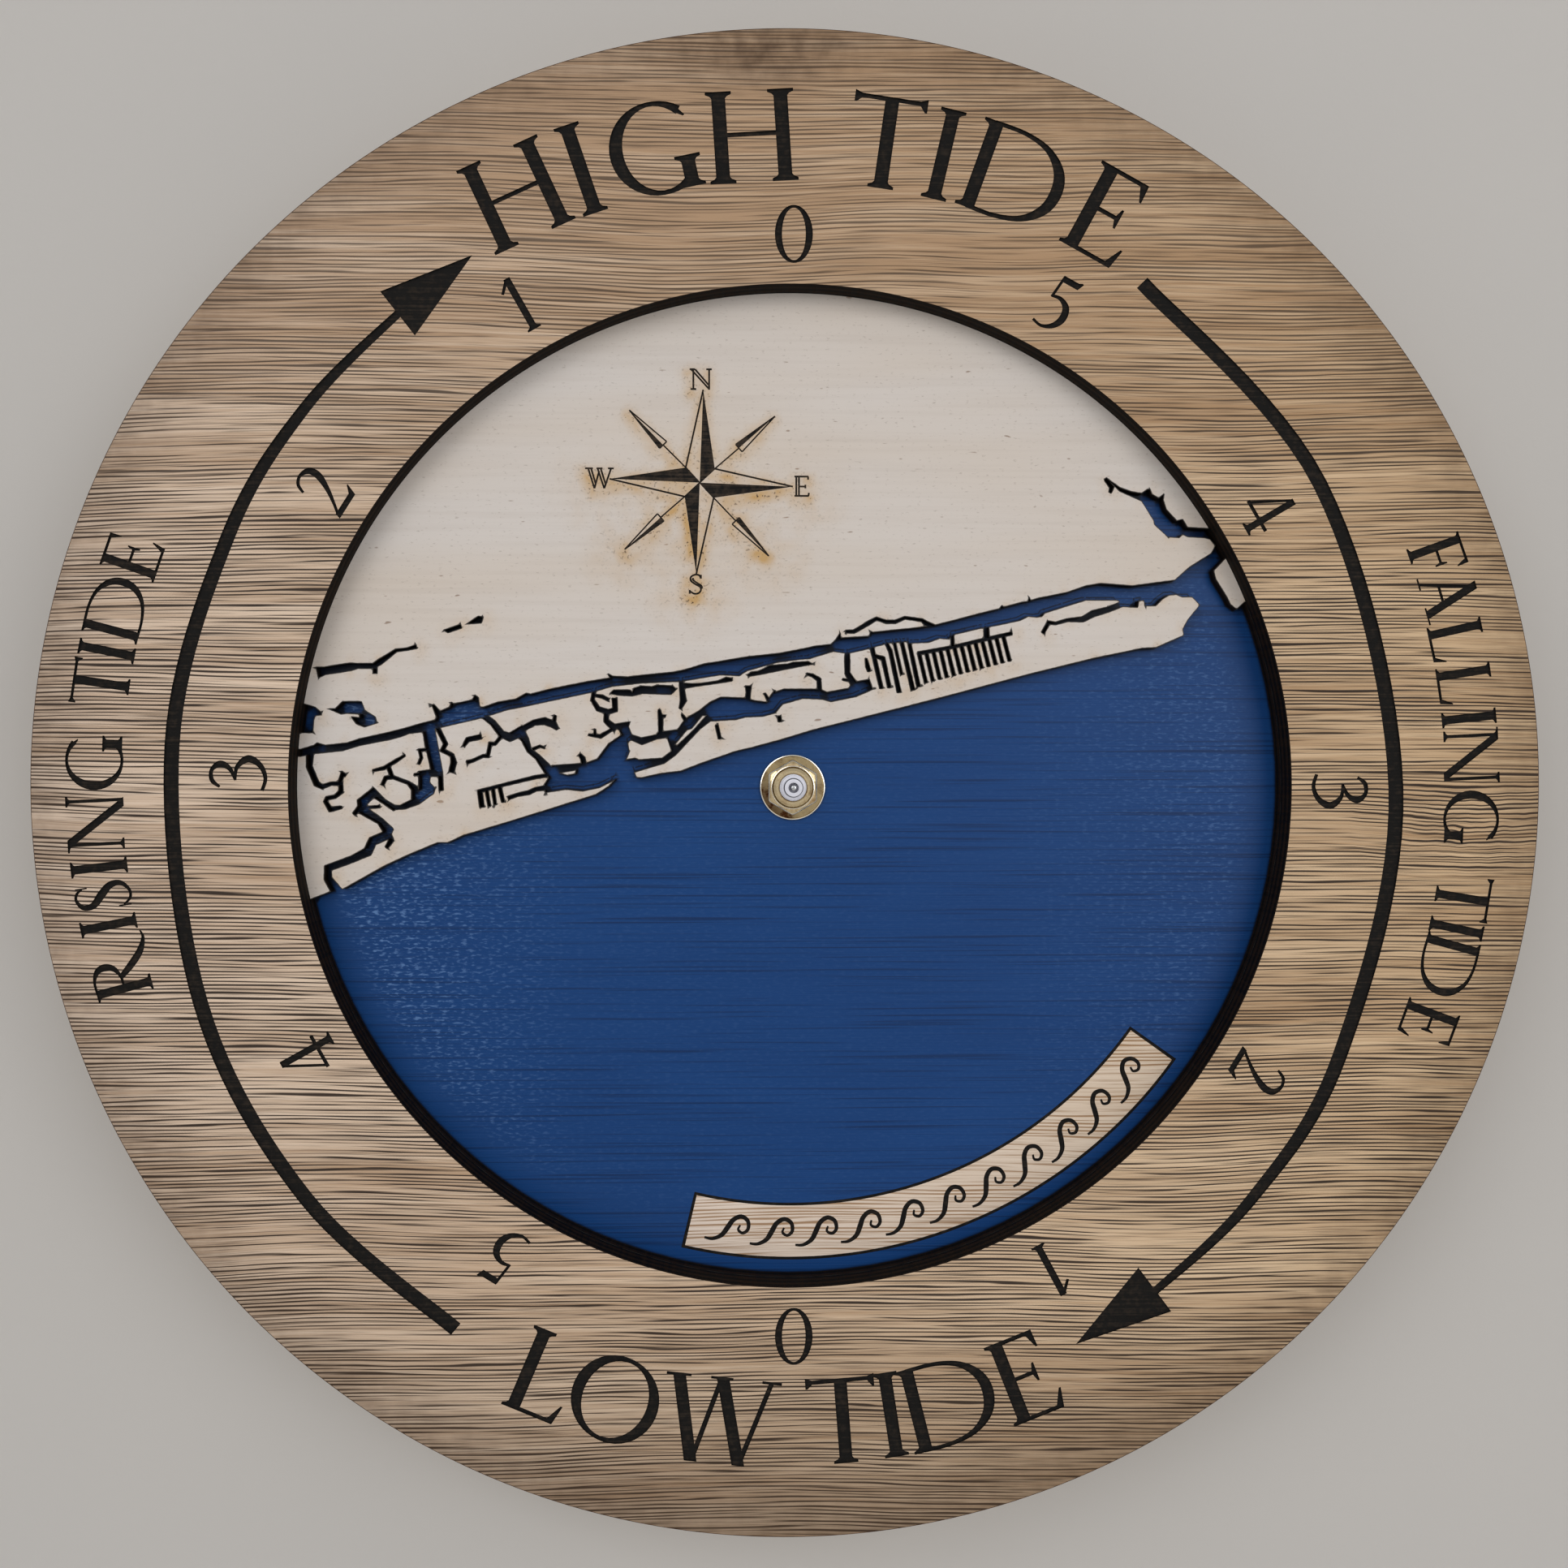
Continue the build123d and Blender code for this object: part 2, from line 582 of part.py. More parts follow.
# Movement cover, flat on the wall, with pivot holes, board posts and the knob's well
board_post_places = [(board_middle, (board_bottom + 2 * board_top) / 3), (board_middle, 0)]
with BuildPart() as movement_cover:
    with BuildSketch(front(0)):
        with Locations((0, case_middle)):
            RectangleRounded(2 * case_right, case_top - case_bottom, case_corner)
        with Locations((0, bay_top)):
            Rectangle(2 * (case_right + overrun), case_top + overrun - bay_top, align=(Align.CENTER, Align.MIN),
                      mode=Mode.INTERSECT)
    extrude(amount=cover_thickness)
    with BuildSketch(front(0)):
        with Locations(motion_place):
            Circle(well_radius + knob_well_wall)
    extrude(amount=knob_well_depth + knob_well_floor)
    with BuildSketch(front(cover_thickness)):
        with Locations(*board_post_places):
            Circle(board_post_diameter / 2)
    extrude(amount=board_post_height)
    with BuildSketch(front(0)):
        with Locations(motion_place):
            Circle(well_radius)
    extrude(amount=knob_well_depth, mode=Mode.SUBTRACT)
    with BuildSketch(front(0)):
        with Locations(motion_place):
            Circle(motion_arbor_diameter / 2 + running_clearance)
    extrude(amount=knob_well_depth + knob_well_floor, mode=Mode.SUBTRACT)
    with BuildSketch(front(pivot_back)):
        with Locations(centre):
            Circle(seconds_arbor_diameter / 2 + running_clearance)
        with Locations(third_place, step_place, rotor_place):
            Circle(arbor_diameter / 2 + running_clearance)
    extrude(amount=pivot_depth, mode=Mode.SUBTRACT)
finish(movement_cover, "movement_cover")

# Rubber gasket between case and dial
with BuildPart() as rubber_gasket:
    with BuildSketch(front(case_depth)):
        Circle(gasket_diameter / 2)
        Circle(bush_diameter / 2 + bush_hole_clearance, mode=Mode.SUBTRACT)
    extrude(amount=gasket_thickness)
finish(rubber_gasket, "rubber_gasket")

# Threaded bush with a flange inside the case
with BuildPart() as threaded_bush:
    with BuildSketch(front(flange_back)):
        Circle(bush_diameter / 2)
    extrude(amount=bush_front - flange_back)
    chamfer(threaded_bush.edges().group_by(Axis.Y)[0], bush_chamfer)
    with BuildSketch(front(flange_back)):
        Circle(bush_flange_diameter / 2)
    extrude(amount=bush_flange_thickness)
    with BuildSketch(front(flange_back)):
        Circle(tide_tube_diameter / 2 + running_clearance)
    extrude(amount=bush_front - flange_back, mode=Mode.SUBTRACT)
finish(threaded_bush, "threaded_bush")

# Brass washer on the dial
with BuildPart() as dial_washer:
    with BuildSketch(front(base_front)):
        Circle(washer_diameter / 2)
        Circle(bush_diameter / 2 + bush_hole_clearance, mode=Mode.SUBTRACT)
    extrude(amount=washer_thickness)
finish(dial_washer, "dial_washer")

# Hexagonal nut, point up, its front corners turned off
nut_corner_radius = nut_width / math.sqrt(3)
with BuildPart() as hex_nut:
    with BuildSketch(front(nut_back)):
        RegularPolygon(nut_corner_radius, 6, rotation=30)
    extrude(amount=nut_thickness)
    with BuildSketch(front(nut_back)):
        Circle(bush_diameter / 2 + thread_clearance)
    extrude(amount=nut_thickness, mode=Mode.SUBTRACT)
    chamfer(hex_nut.faces().sort_by(Axis.Y)[0].outer_wire().edges(), nut_chamfer)
finish(hex_nut, "hex_nut")

# Tide wheel and its tube, which carries the tide hand
tide_back = span(0, wheel_thickness)
with BuildPart() as tide_wheel:
    with BuildSketch(front(tide_back)):
        Polygon(*wheel_towards(centre, motion_teeth_count, motion_distance, motion_direction), align=None)
    extrude(amount=wheel_thickness)
    with BuildSketch(front(tide_back)):
        Circle(tide_tube_diameter / 2)
    extrude(amount=tide_front - tide_seat_length - tide_back)
    with BuildSketch(front(tide_back)):
        Circle(tide_seat_diameter / 2)
    extrude(amount=tide_front - tide_back)
    with BuildSketch(front(tide_back)):
        Circle(minute_tube_diameter / 2 + running_clearance)
    extrude(amount=tide_front - tide_back, mode=Mode.SUBTRACT)
finish(tide_wheel, "tide_wheel")

# Minute tube with its cannon pinion
minute_back = span(2, pinion_length) - pivot_end_play
with BuildPart() as minute_tube:
    with BuildSketch(front(minute_back)):
        Circle(minute_tube_diameter / 2)
    extrude(amount=minute_front - minute_back)
    with BuildSketch(front(span(1, pinion_length))):
        Polygon(*pinion_towards(centre, cannon_teeth_count, motion_distance, motion_direction), align=None)
    extrude(amount=pinion_length)
    with BuildSketch(front(minute_back)):
        Circle(seconds_arbor_diameter / 2 + running_clearance)
    extrude(amount=minute_front - minute_back, mode=Mode.SUBTRACT)
    with BuildSketch(front(minute_front - minute_socket_depth)):
        Circle(minute_socket_diameter / 2)
    extrude(amount=minute_socket_depth, mode=Mode.SUBTRACT)
finish(minute_tube, "minute_tube")

# Motion wheel and pinion on the setting arbor
motion_back = knob_gap
with BuildPart() as motion_wheel:
    with BuildSketch(front(motion_back)):
        with Locations(motion_place):
            Circle(motion_arbor_diameter / 2)
    extrude(amount=pivot_front - pivot_end_play - motion_back)
    with BuildSketch(front(span(1, wheel_thickness))):
        Polygon(*wheel_towards(motion_place, cannon_teeth_count, motion_distance, motion_return), align=None)
    extrude(amount=wheel_thickness)
    with BuildSketch(front(span(0, pinion_length))):
        Polygon(*pinion_towards(motion_place, motion_teeth_count, motion_distance, motion_return), align=None)
    extrude(amount=pinion_length)
finish(motion_wheel, "motion_wheel")

# Setting knob with grip grooves
with BuildPart() as set_knob:
    with BuildSketch(front(knob_gap)):
        with Locations(motion_place):
            Circle(knob_diameter / 2)
            Circle(motion_arbor_diameter / 2, mode=Mode.SUBTRACT)
            with PolarLocations(knob_diameter / 2, knob_grip_count):
                Circle(knob_grip_diameter / 2, mode=Mode.SUBTRACT)
    extrude(amount=knob_thickness)
finish(set_knob, "set_knob")

# Centre wheel, which drives the minute tube through a friction fit
with BuildPart() as centre_wheel:
    with BuildSketch(front(span(2, wheel_thickness))):
        Polygon(*wheel_towards(centre, third_teeth_count, third_distance, third_direction), align=None)
        Circle(minute_tube_diameter / 2 + running_clearance, mode=Mode.SUBTRACT)
    extrude(amount=wheel_thickness)
finish(centre_wheel, "centre_wheel")

# Third wheel and pinion
pivot_span = pivot_front - pivot_back - 2 * pivot_end_play
arbor_back = pivot_back + pivot_end_play
with BuildPart() as third_wheel:
    with BuildSketch(front(arbor_back)):
        with Locations(third_place):
            Circle(arbor_diameter / 2)
    extrude(amount=pivot_span)
    with BuildSketch(front(span(3, wheel_thickness))):
        Polygon(*wheel_towards(third_place, seconds_teeth_count, third_distance, third_return), align=None)
    extrude(amount=wheel_thickness)
    with BuildSketch(front(span(2, pinion_length))):
        Polygon(*pinion_towards(third_place, third_teeth_count, third_distance, third_return), align=None)
    extrude(amount=pinion_length)
finish(third_wheel, "third_wheel")

# Seconds wheel, pinion and the pin that reaches the front
with BuildPart() as seconds_wheel:
    with BuildSketch(front(arbor_back)):
        Circle(seconds_arbor_diameter / 2)
    extrude(amount=seconds_front - arbor_back)
    with BuildSketch(front(span(4, wheel_thickness))):
        Polygon(*wheel_towards(centre, step_teeth_count, step_distance, step_direction), align=None)
    extrude(amount=wheel_thickness)
    with BuildSketch(front(span(3, pinion_length))):
        Polygon(*pinion_towards(centre, seconds_teeth_count, third_distance, third_direction), align=None)
    extrude(amount=pinion_length)
finish(seconds_wheel, "seconds_wheel")

# Step wheel and pinion between rotor and seconds wheel
with BuildPart() as step_wheel:
    with BuildSketch(front(arbor_back)):
        with Locations(step_place):
            Circle(arbor_diameter / 2)
    extrude(amount=pivot_span)
    with BuildSketch(front(span(5, wheel_thickness))):
        Polygon(*wheel_towards(step_place, rotor_teeth_count, rotor_distance, rotor_direction), align=None)
    extrude(amount=wheel_thickness)
    with BuildSketch(front(span(4, pinion_length))):
        Polygon(*pinion_towards(step_place, step_teeth_count, step_distance, step_return), align=None)
    extrude(amount=pinion_length)
finish(step_wheel, "step_wheel")

# Rotor arbor with its pinion
with BuildPart() as rotor_pinion:
    with BuildSketch(front(arbor_back)):
        with Locations(rotor_place):
            Circle(arbor_diameter / 2)
    extrude(amount=pivot_span)
    with BuildSketch(front(span(5, pinion_length))):
        Polygon(*pinion_towards(rotor_place, rotor_teeth_count, rotor_distance, rotor_return), align=None)
    extrude(amount=pinion_length)
finish(rotor_pinion, "rotor_pinion")

# Rotor magnet
with BuildPart() as rotor_magnet:
    with BuildSketch(front(magnet_height - magnet_length / 2)):
        with Locations(rotor_place):
            Circle(magnet_diameter / 2)
            Circle(arbor_diameter / 2, mode=Mode.SUBTRACT)
    extrude(amount=magnet_length)
finish(rotor_magnet, "rotor_magnet")

# Stator plate: a bar with the rotor's hole and two legs up to the coil's core
leg_top = coil_level + core_width / 2
with BuildPart() as stator:
    with BuildSketch(front(stator_height)):
        with Locations(rotor_place):
            Rectangle(stator_length, stator_depth)
        with Locations((stator_left, rotor_place[1])):
            Rectangle(stator_leg, leg_top - rotor_place[1], align=(Align.MIN, Align.MIN))
        with Locations((stator_right, rotor_place[1])):
            Rectangle(stator_leg, leg_top - rotor_place[1], align=(Align.MAX, Align.MIN))
        with Locations(rotor_place):
            Circle(magnet_diameter / 2 + magnet_gap, mode=Mode.SUBTRACT)
    extrude(amount=stator_thickness)
finish(stator, "stator")

# Coil core across the two legs
with BuildPart() as coil_core:
    with BuildSketch(front(stator_front)):
        with Locations((rotor_place[0], coil_level)):
            Rectangle(stator_length, core_width)
    extrude(amount=core_thickness)
finish(coil_core, "coil_core")

# Coil bobbin on the core, with a flange at each end
bobbin_left = stator_left + stator_leg + bobbin_inset
bobbin_length = stator_length - 2 * (stator_leg + bobbin_inset)
bobbin_right = bobbin_left + bobbin_length
coil_axis = (-coil_height, coil_level)
with BuildPart() as coil_bobbin:
    with BuildSketch(Plane.YZ.offset(bobbin_left)):
        with Locations(coil_axis):
            Circle(bobbin_barrel_diameter / 2)
    extrude(amount=bobbin_length)
    for flange_left in (bobbin_left, bobbin_right - bobbin_flange):
        with BuildSketch(Plane.YZ.offset(flange_left)):
            with Locations(coil_axis):
                Circle(bobbin_diameter / 2)
        extrude(amount=bobbin_flange)
    with BuildSketch(Plane.YZ.offset(bobbin_left)):
        with Locations(coil_axis):
            Rectangle(core_thickness, core_width)
    extrude(amount=bobbin_length, mode=Mode.SUBTRACT)
finish(coil_bobbin, "coil_bobbin")

# Copper winding between the flanges
with BuildPart() as coil_winding:
    with BuildSketch(Plane.YZ.offset(bobbin_left + bobbin_flange)):
        with Locations(coil_axis):
            Circle(winding_diameter / 2)
            Circle(bobbin_barrel_diameter / 2, mode=Mode.SUBTRACT)
    extrude(amount=bobbin_length - 2 * bobbin_flange)
finish(coil_winding, "coil_winding")

# Circuit board on the cover's posts
with BuildPart() as circuit_board:
    with BuildSketch(front(board_back)):
        with Locations((board_left, board_bottom)):
            Rectangle(board_width, board_top - board_bottom, align=(Align.MIN, Align.MIN))
    extrude(amount=board_thickness)
finish(circuit_board, "circuit_board")

# Control chip under its drop of resin
with BuildPart() as control_chip:
    with BuildSketch(front(board_front)):
        with Locations((board_middle, (board_top + board_bottom) / 2)):
            Circle(chip_diameter / 2)
    extrude(amount=chip_thickness, taper=chip_taper_angle)
finish(control_chip, "control_chip")

# Quartz crystal can lying on the board
crystal_height = board_front + crystal_gap + crystal_diameter / 2
with BuildPart() as quartz_crystal:
    with BuildSketch(Plane.XY.offset((board_bottom + 3 * board_top) / 4 - crystal_length / 2)):
        with Locations((board_middle, -crystal_height)):
            Circle(crystal_diameter / 2)
    extrude(amount=crystal_length)
finish(quartz_crystal, "quartz_crystal")

# Positive contact, a strip up the right wall to the board's edge
with BuildPart() as positive_contact:
    with BuildSketch(front(contact_back)):
        with Locations((inside_right, contact_bottom)):
            contact_rise = board_bottom + contact_overlap - contact_bottom
            Rectangle(contact_strip, contact_rise, align=(Align.MAX, Align.MIN))
    extrude(amount=contact_width)
finish(positive_contact, "positive_contact")

# Negative contact: a strip up the left wall, along the bay wall to the board, and a spring tongue
strip_middle = inside_left + contact_strip / 2
tongue_tip = battery_left - contact_gap - contact_strip
tongue = [
    (strip_middle, battery_level - spring_rise, contact_strip),
    (tongue_tip, battery_level, contact_strip),
    (strip_middle + contact_strip, battery_level + spring_rise, contact_strip),
]
with BuildPart() as negative_contact:
    with BuildSketch(front(contact_back)):
        with Locations((inside_left, contact_bottom)):
            Rectangle(contact_strip, board_bottom - contact_bottom, align=(Align.MIN, Align.MIN))
        with Locations((inside_left, bay_wall_top)):
            Rectangle(board_left + contact_overlap - inside_left, contact_strip, align=(Align.MIN, Align.MIN))
        Polygon(*banks(tongue), align=None)
    extrude(amount=contact_width)
finish(negative_contact, "negative_contact")

# Battery with its raised positive end
with BuildPart() as battery:
    with BuildSketch(Plane.YZ.offset(battery_left)):
        with Locations((-battery_height, battery_level)):
            Circle(battery_diameter / 2)
    extrude(amount=battery_length - battery_nub_length)
    with BuildSketch(Plane.YZ.offset(battery_left)):
        with Locations((-battery_height, battery_level)):
            Circle(battery_nub_diameter / 2)
    extrude(amount=battery_length)
finish(battery, "battery")
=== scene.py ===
"""Looks of a round wall tide clock: engraved wooden dial, cut-out map, brass fittings and movement."""
import math
from collections import Counter
from functools import partial

import bmesh
import bpy
from bpy.props import FloatProperty, FloatVectorProperty, PointerProperty
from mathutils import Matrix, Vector, geometry, kdtree, noise


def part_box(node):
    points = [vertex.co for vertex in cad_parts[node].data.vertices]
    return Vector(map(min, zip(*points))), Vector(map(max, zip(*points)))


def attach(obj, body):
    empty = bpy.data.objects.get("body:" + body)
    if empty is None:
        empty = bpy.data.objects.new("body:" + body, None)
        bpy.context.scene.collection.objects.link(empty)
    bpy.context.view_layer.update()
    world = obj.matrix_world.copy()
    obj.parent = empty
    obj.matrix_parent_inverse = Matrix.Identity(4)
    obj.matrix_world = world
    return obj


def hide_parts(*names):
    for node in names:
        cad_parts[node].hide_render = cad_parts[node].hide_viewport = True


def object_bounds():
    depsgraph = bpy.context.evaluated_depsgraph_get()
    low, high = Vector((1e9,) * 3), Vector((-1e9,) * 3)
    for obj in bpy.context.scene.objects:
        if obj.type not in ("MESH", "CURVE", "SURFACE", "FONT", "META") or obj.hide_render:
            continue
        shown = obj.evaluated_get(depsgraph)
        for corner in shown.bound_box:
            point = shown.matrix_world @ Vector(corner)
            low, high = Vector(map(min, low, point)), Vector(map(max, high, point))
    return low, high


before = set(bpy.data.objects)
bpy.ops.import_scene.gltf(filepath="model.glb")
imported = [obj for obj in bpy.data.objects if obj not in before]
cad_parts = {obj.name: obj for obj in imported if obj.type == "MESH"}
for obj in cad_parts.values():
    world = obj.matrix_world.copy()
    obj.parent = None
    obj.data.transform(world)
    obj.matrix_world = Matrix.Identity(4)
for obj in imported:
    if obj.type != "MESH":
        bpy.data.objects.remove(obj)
cad_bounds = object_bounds()

bl_info = {
    "name": "Tide Clock",
    "version": (1, 0, 0),
    "blender": (4, 5, 0),
    "location": "3D View > Sidebar > Tide Clock",
    "description": "Dresses the tide clock's solids in engraved wood, paint, brass and moulded plastic",
    "category": "Object",
}

MM = 0.001
# Share of the dial's radius that shows inside the ring
SEEN_SHARE = 0.68
LAND_NODES = [
    "land_layer", "barrier_island", "beach_island", "middle_island", "west_island", "sound_islet",
    "marsh_strip", "shoal_islet", "canal_islet",
]


def linear(hex_code):
    """An sRGB hex colour as linear red, green, blue and alpha."""
    channels = [int(hex_code[i:i + 2], 16) / 255 for i in (0, 2, 4)]
    return tuple(c / 12.92 if c <= 0.04045 else ((c + 0.055) / 1.055) ** 2.4 for c in channels) + (1.0,)


def colour(name, description, hex_code):
    """A colour that the user may change."""
    return FloatVectorProperty(name=name, description=description, subtype="COLOR", size=4, min=0, max=1,
                               default=linear(hex_code))


class DialWoodSettings(bpy.types.PropertyGroup):
    """Sizes and finishes of the wooden dial."""
    engraving_depth: FloatProperty(name="Engraving depth",
                                   description="How deep the ring's scale is burnt in", default=0.45 * MM,
                                   min=0, max=2 * MM, unit="LENGTH", precision=5)
    rose_depth: FloatProperty(name="Rose depth", description="How deep the compass rose is burnt in",
                              default=0.2 * MM, min=0, max=1 * MM, unit="LENGTH", precision=5)
    stain_light: colour("Stain, light", "Stained early wood of the ring", "E5D2B9")
    stain_dark: colour("Stain, dark", "Stained late wood of the ring", "B59A7C")
    pores: colour("Pores", "Stain gathered in the ring's open pores", "2D2015")
    char: colour("Char", "Laser-burnt wood", "0E0C0A")
    bare_wood: colour("Bare wood", "Unpainted land and plaque", "D1C9C2")
    scorch: colour("Scorch", "Brown smoke stain beside a burn", "BF9B68")
    sea_paint: colour("Sea paint", "Blue paint on the base", "0E3B72")
    raw_ply: colour("Raw plywood", "Untreated back of the base", "C9AE88")


class FittingSettings(bpy.types.PropertyGroup):
    """Finishes of the metal and plastic fittings."""
    brass: colour("Brass", "Nut and bush", "D8C49C")
    washer: colour("Washer", "Polished washer", "BFA97E")
    tube: colour("Hand tubes", "White moulded tubes", "D9D9E2")
    steel: colour("Steel", "Pin, contacts and motor plates", "C2C3C4")
    case: colour("Case", "Moulded movement case", "26282B")
    sleeve: colour("Battery sleeve", "Plain sleeve of the cell", "5F7684")


class StageSettings(bpy.types.PropertyGroup):
    """Wall, floor and light around the clock."""
    wall: colour("Wall", "Painted wall behind the clock", "C3BFBA")
    floor: colour("Floor", "Plain floor below", "D2CFCA")
    key_power: FloatProperty(name="Key light", description="Power of the large soft lamp at the left",
                             default=9.5, min=0, subtype="POWER", unit="POWER")
    sky: FloatProperty(name="Fill light", description="Strength of the even light from all sides",
                       default=0.54, min=0, subtype="FACTOR", max=2)


# Outlines, right and up on the dial in millimetres, seen from the front


def circle(radius, count, centre=(0, 0)):
    """A circle as a closed outline."""
    steps = [2 * math.pi * i / count for i in range(count)]
    return [(centre[0] + radius * math.cos(a), centre[1] + radius * math.sin(a)) for a in steps]


def polar(angle, radius):
    """The place at a clock angle, clockwise from the top in degrees."""
    a = math.radians(angle)
    return (radius * math.sin(a), radius * math.cos(a))


def smooth(points, steps=6):
    """Points along a soft curve through the given ones."""
    line = []
    for i in range(len(points) - 1):
        a, b = points[max(i - 1, 0)], points[i]
        c, d = points[i + 1], points[min(i + 2, len(points) - 1)]
        for k in range(steps):
            t = k / steps
            line.append(tuple(
                0.5 * (2 * q + (r - p) * t + (2 * p - 5 * q + 4 * r - s) * t * t
                       + (3 * q - p - 3 * r + s) * t ** 3)
                for p, q, r, s in zip(a, b, c, d)))
    return line + [tuple(points[-1])]


def beside(outlines, step, offsets):
    """Places along closed outlines, at most a step apart, moved sideways by each offset."""
    places = []
    for outline in outlines:
        for a, b in zip(outline, outline[1:] + outline[:1]):
            run = math.hypot(b[0] - a[0], b[1] - a[1]) or 1
            count = math.ceil(run / step)
            for i in range(count):
                x, y = a[0] + (b[0] - a[0]) * i / count, a[1] + (b[1] - a[1]) * i / count
                places += [(x + (a[1] - b[1]) / run * k, y + (b[0] - a[0]) / run * k) for k in offsets]
    return places


def dead_ends(outlines, width):
    """Middles of the short lines at which closed outlines turn back."""
    ends = []
    for outline in outlines:
        turned = [outline[k:] + outline[:k] for k in range(4)]
        for a, b, c, d in zip(*turned):
            before, line, after = (Vector(end) - Vector(start) for start, end in ((a, b), (b, c), (c, d)))
            if line.length < width and before.cross(line) * line.cross(after) > 0 and before.dot(after) < 0:
                ends.append(((b[0] + c[0]) / 2, (b[1] + c[1]) / 2))
    return ends


def grid(view, spacing, left, right, bottom, top):
    """Places in staggered rows over a box, as far as they lie inside a circle."""
    places = []
    for row in range(int((top - bottom) / spacing)):
        for column in range(int((right - left) / spacing)):
            place = (left + (column + 0.5 + 0.25 * (row % 2)) * spacing, bottom + (row + 0.5) * spacing)
            if math.hypot(*place) < view:
                places.append(place)
    return places


def place_tree(places):
    """Search tree over flat places."""
    tree = kdtree.KDTree(len(places))
    for number, (x, y) in enumerate(places):
        tree.insert((x, y, 0), number)
    tree.balance()
    return tree


def sweep(points, steps=6):
    """Outline of a pen stroke through (right, up, width) points."""
    line = smooth(points, steps) if steps else points
    left, right = [], []
    for i, (x, y, width) in enumerate(line):
        x0, y0, _ = line[max(i - 1, 0)]
        x1, y1, _ = line[min(i + 1, len(line) - 1)]
        run = math.hypot(x1 - x0, y1 - y0) or 1
        across, up = -(y1 - y0) / run * width / 2, (x1 - x0) / run * width / 2
        left.append((x + across, y + up))
        right.append((x - across, y - up))
    return left + right[::-1]


# Serif capitals and figures, one unit tall, drawn as overlapping strokes

STEM = 0.152
HAIR = 0.05
SERIF = 0.066
THIN = 0.032
BRACKET = 0.075


def stem(x, bottom=0.0, top=1.0, width=STEM, foot=(SERIF, SERIF), head=(SERIF, SERIF)):
    """Upright stem with its left edge at x and bracketed hairline serifs."""
    left, right = x, x + width
    return [
        (left - foot[0], bottom), (right + foot[1], bottom), (right + foot[1], bottom + THIN),
        (right + 0.3 * foot[1], bottom + 1.6 * THIN), (right, bottom + BRACKET),
        (right, top - BRACKET), (right + 0.3 * head[1], top - 1.6 * THIN), (right + head[1], top - THIN),
        (right + head[1], top), (left - head[0], top), (left - head[0], top - THIN),
        (left - 0.3 * head[0], top - 1.6 * THIN), (left, top - BRACKET),
        (left, bottom + BRACKET), (left - 0.3 * foot[0], bottom + 1.6 * THIN),
        (left - foot[0], bottom + THIN),
    ]


def bar(left, right, bottom, top):
    """Level bar."""
    return [(left, bottom), (right, bottom), (right, top), (left, top)]


def slant(x0, y0, x1, y1, width):
    """Sloping stroke of one level width."""
    h = width / 2
    return [(x0 - h, y0), (x0 + h, y0), (x1 + h, y1), (x1 - h, y1)]


def bowl(cx, cy, rx, ry, start, end, thick, thin=HAIR, lean=0):
    """Part of an oval drawn with a broad pen, from one angle to another in degrees."""
    count = max(8, int(abs(end - start) / 9))
    points = []
    for i in range(count + 1):
        a = math.radians(start + (end - start) * i / count)
        swell = abs(math.cos(a - math.radians(lean))) ** 1.7
        points.append((cx + rx * math.cos(a), cy + ry * math.sin(a), thin + (thick - thin) * swell))
    return sweep(points, 0)


TOP_ARM = [(0.1, 1 - HAIR), (0.44, 1 - HAIR), (0.51, 0.79), (0.535, 0.79), (0.525, 1.0), (0.1, 1.0)]
MIDDLE_ARM = [(0.1, 0.49), (0.36, 0.49), (0.39, 0.405), (0.415, 0.405), (0.415, 0.63), (0.39, 0.63),
              (0.36, 0.49 + HAIR), (0.1, 0.49 + HAIR)]
BOTTOM_ARM = [(0.1, 0.0), (0.565, 0.0), (0.61, 0.235), (0.585, 0.235), (0.49, HAIR), (0.1, HAIR)]
FOOT_AT = {
    "A_left": bar(-0.04, 0.17, 0, THIN), "A_right": bar(0.5, 0.82, 0, THIN),
    "W_left": bar(-0.02, 0.27, 1 - THIN, 1), "W_middle": bar(0.5, 0.76, 1 - THIN, 1),
    "W_right": bar(1.1, 1.33, 1 - THIN, 1),
}
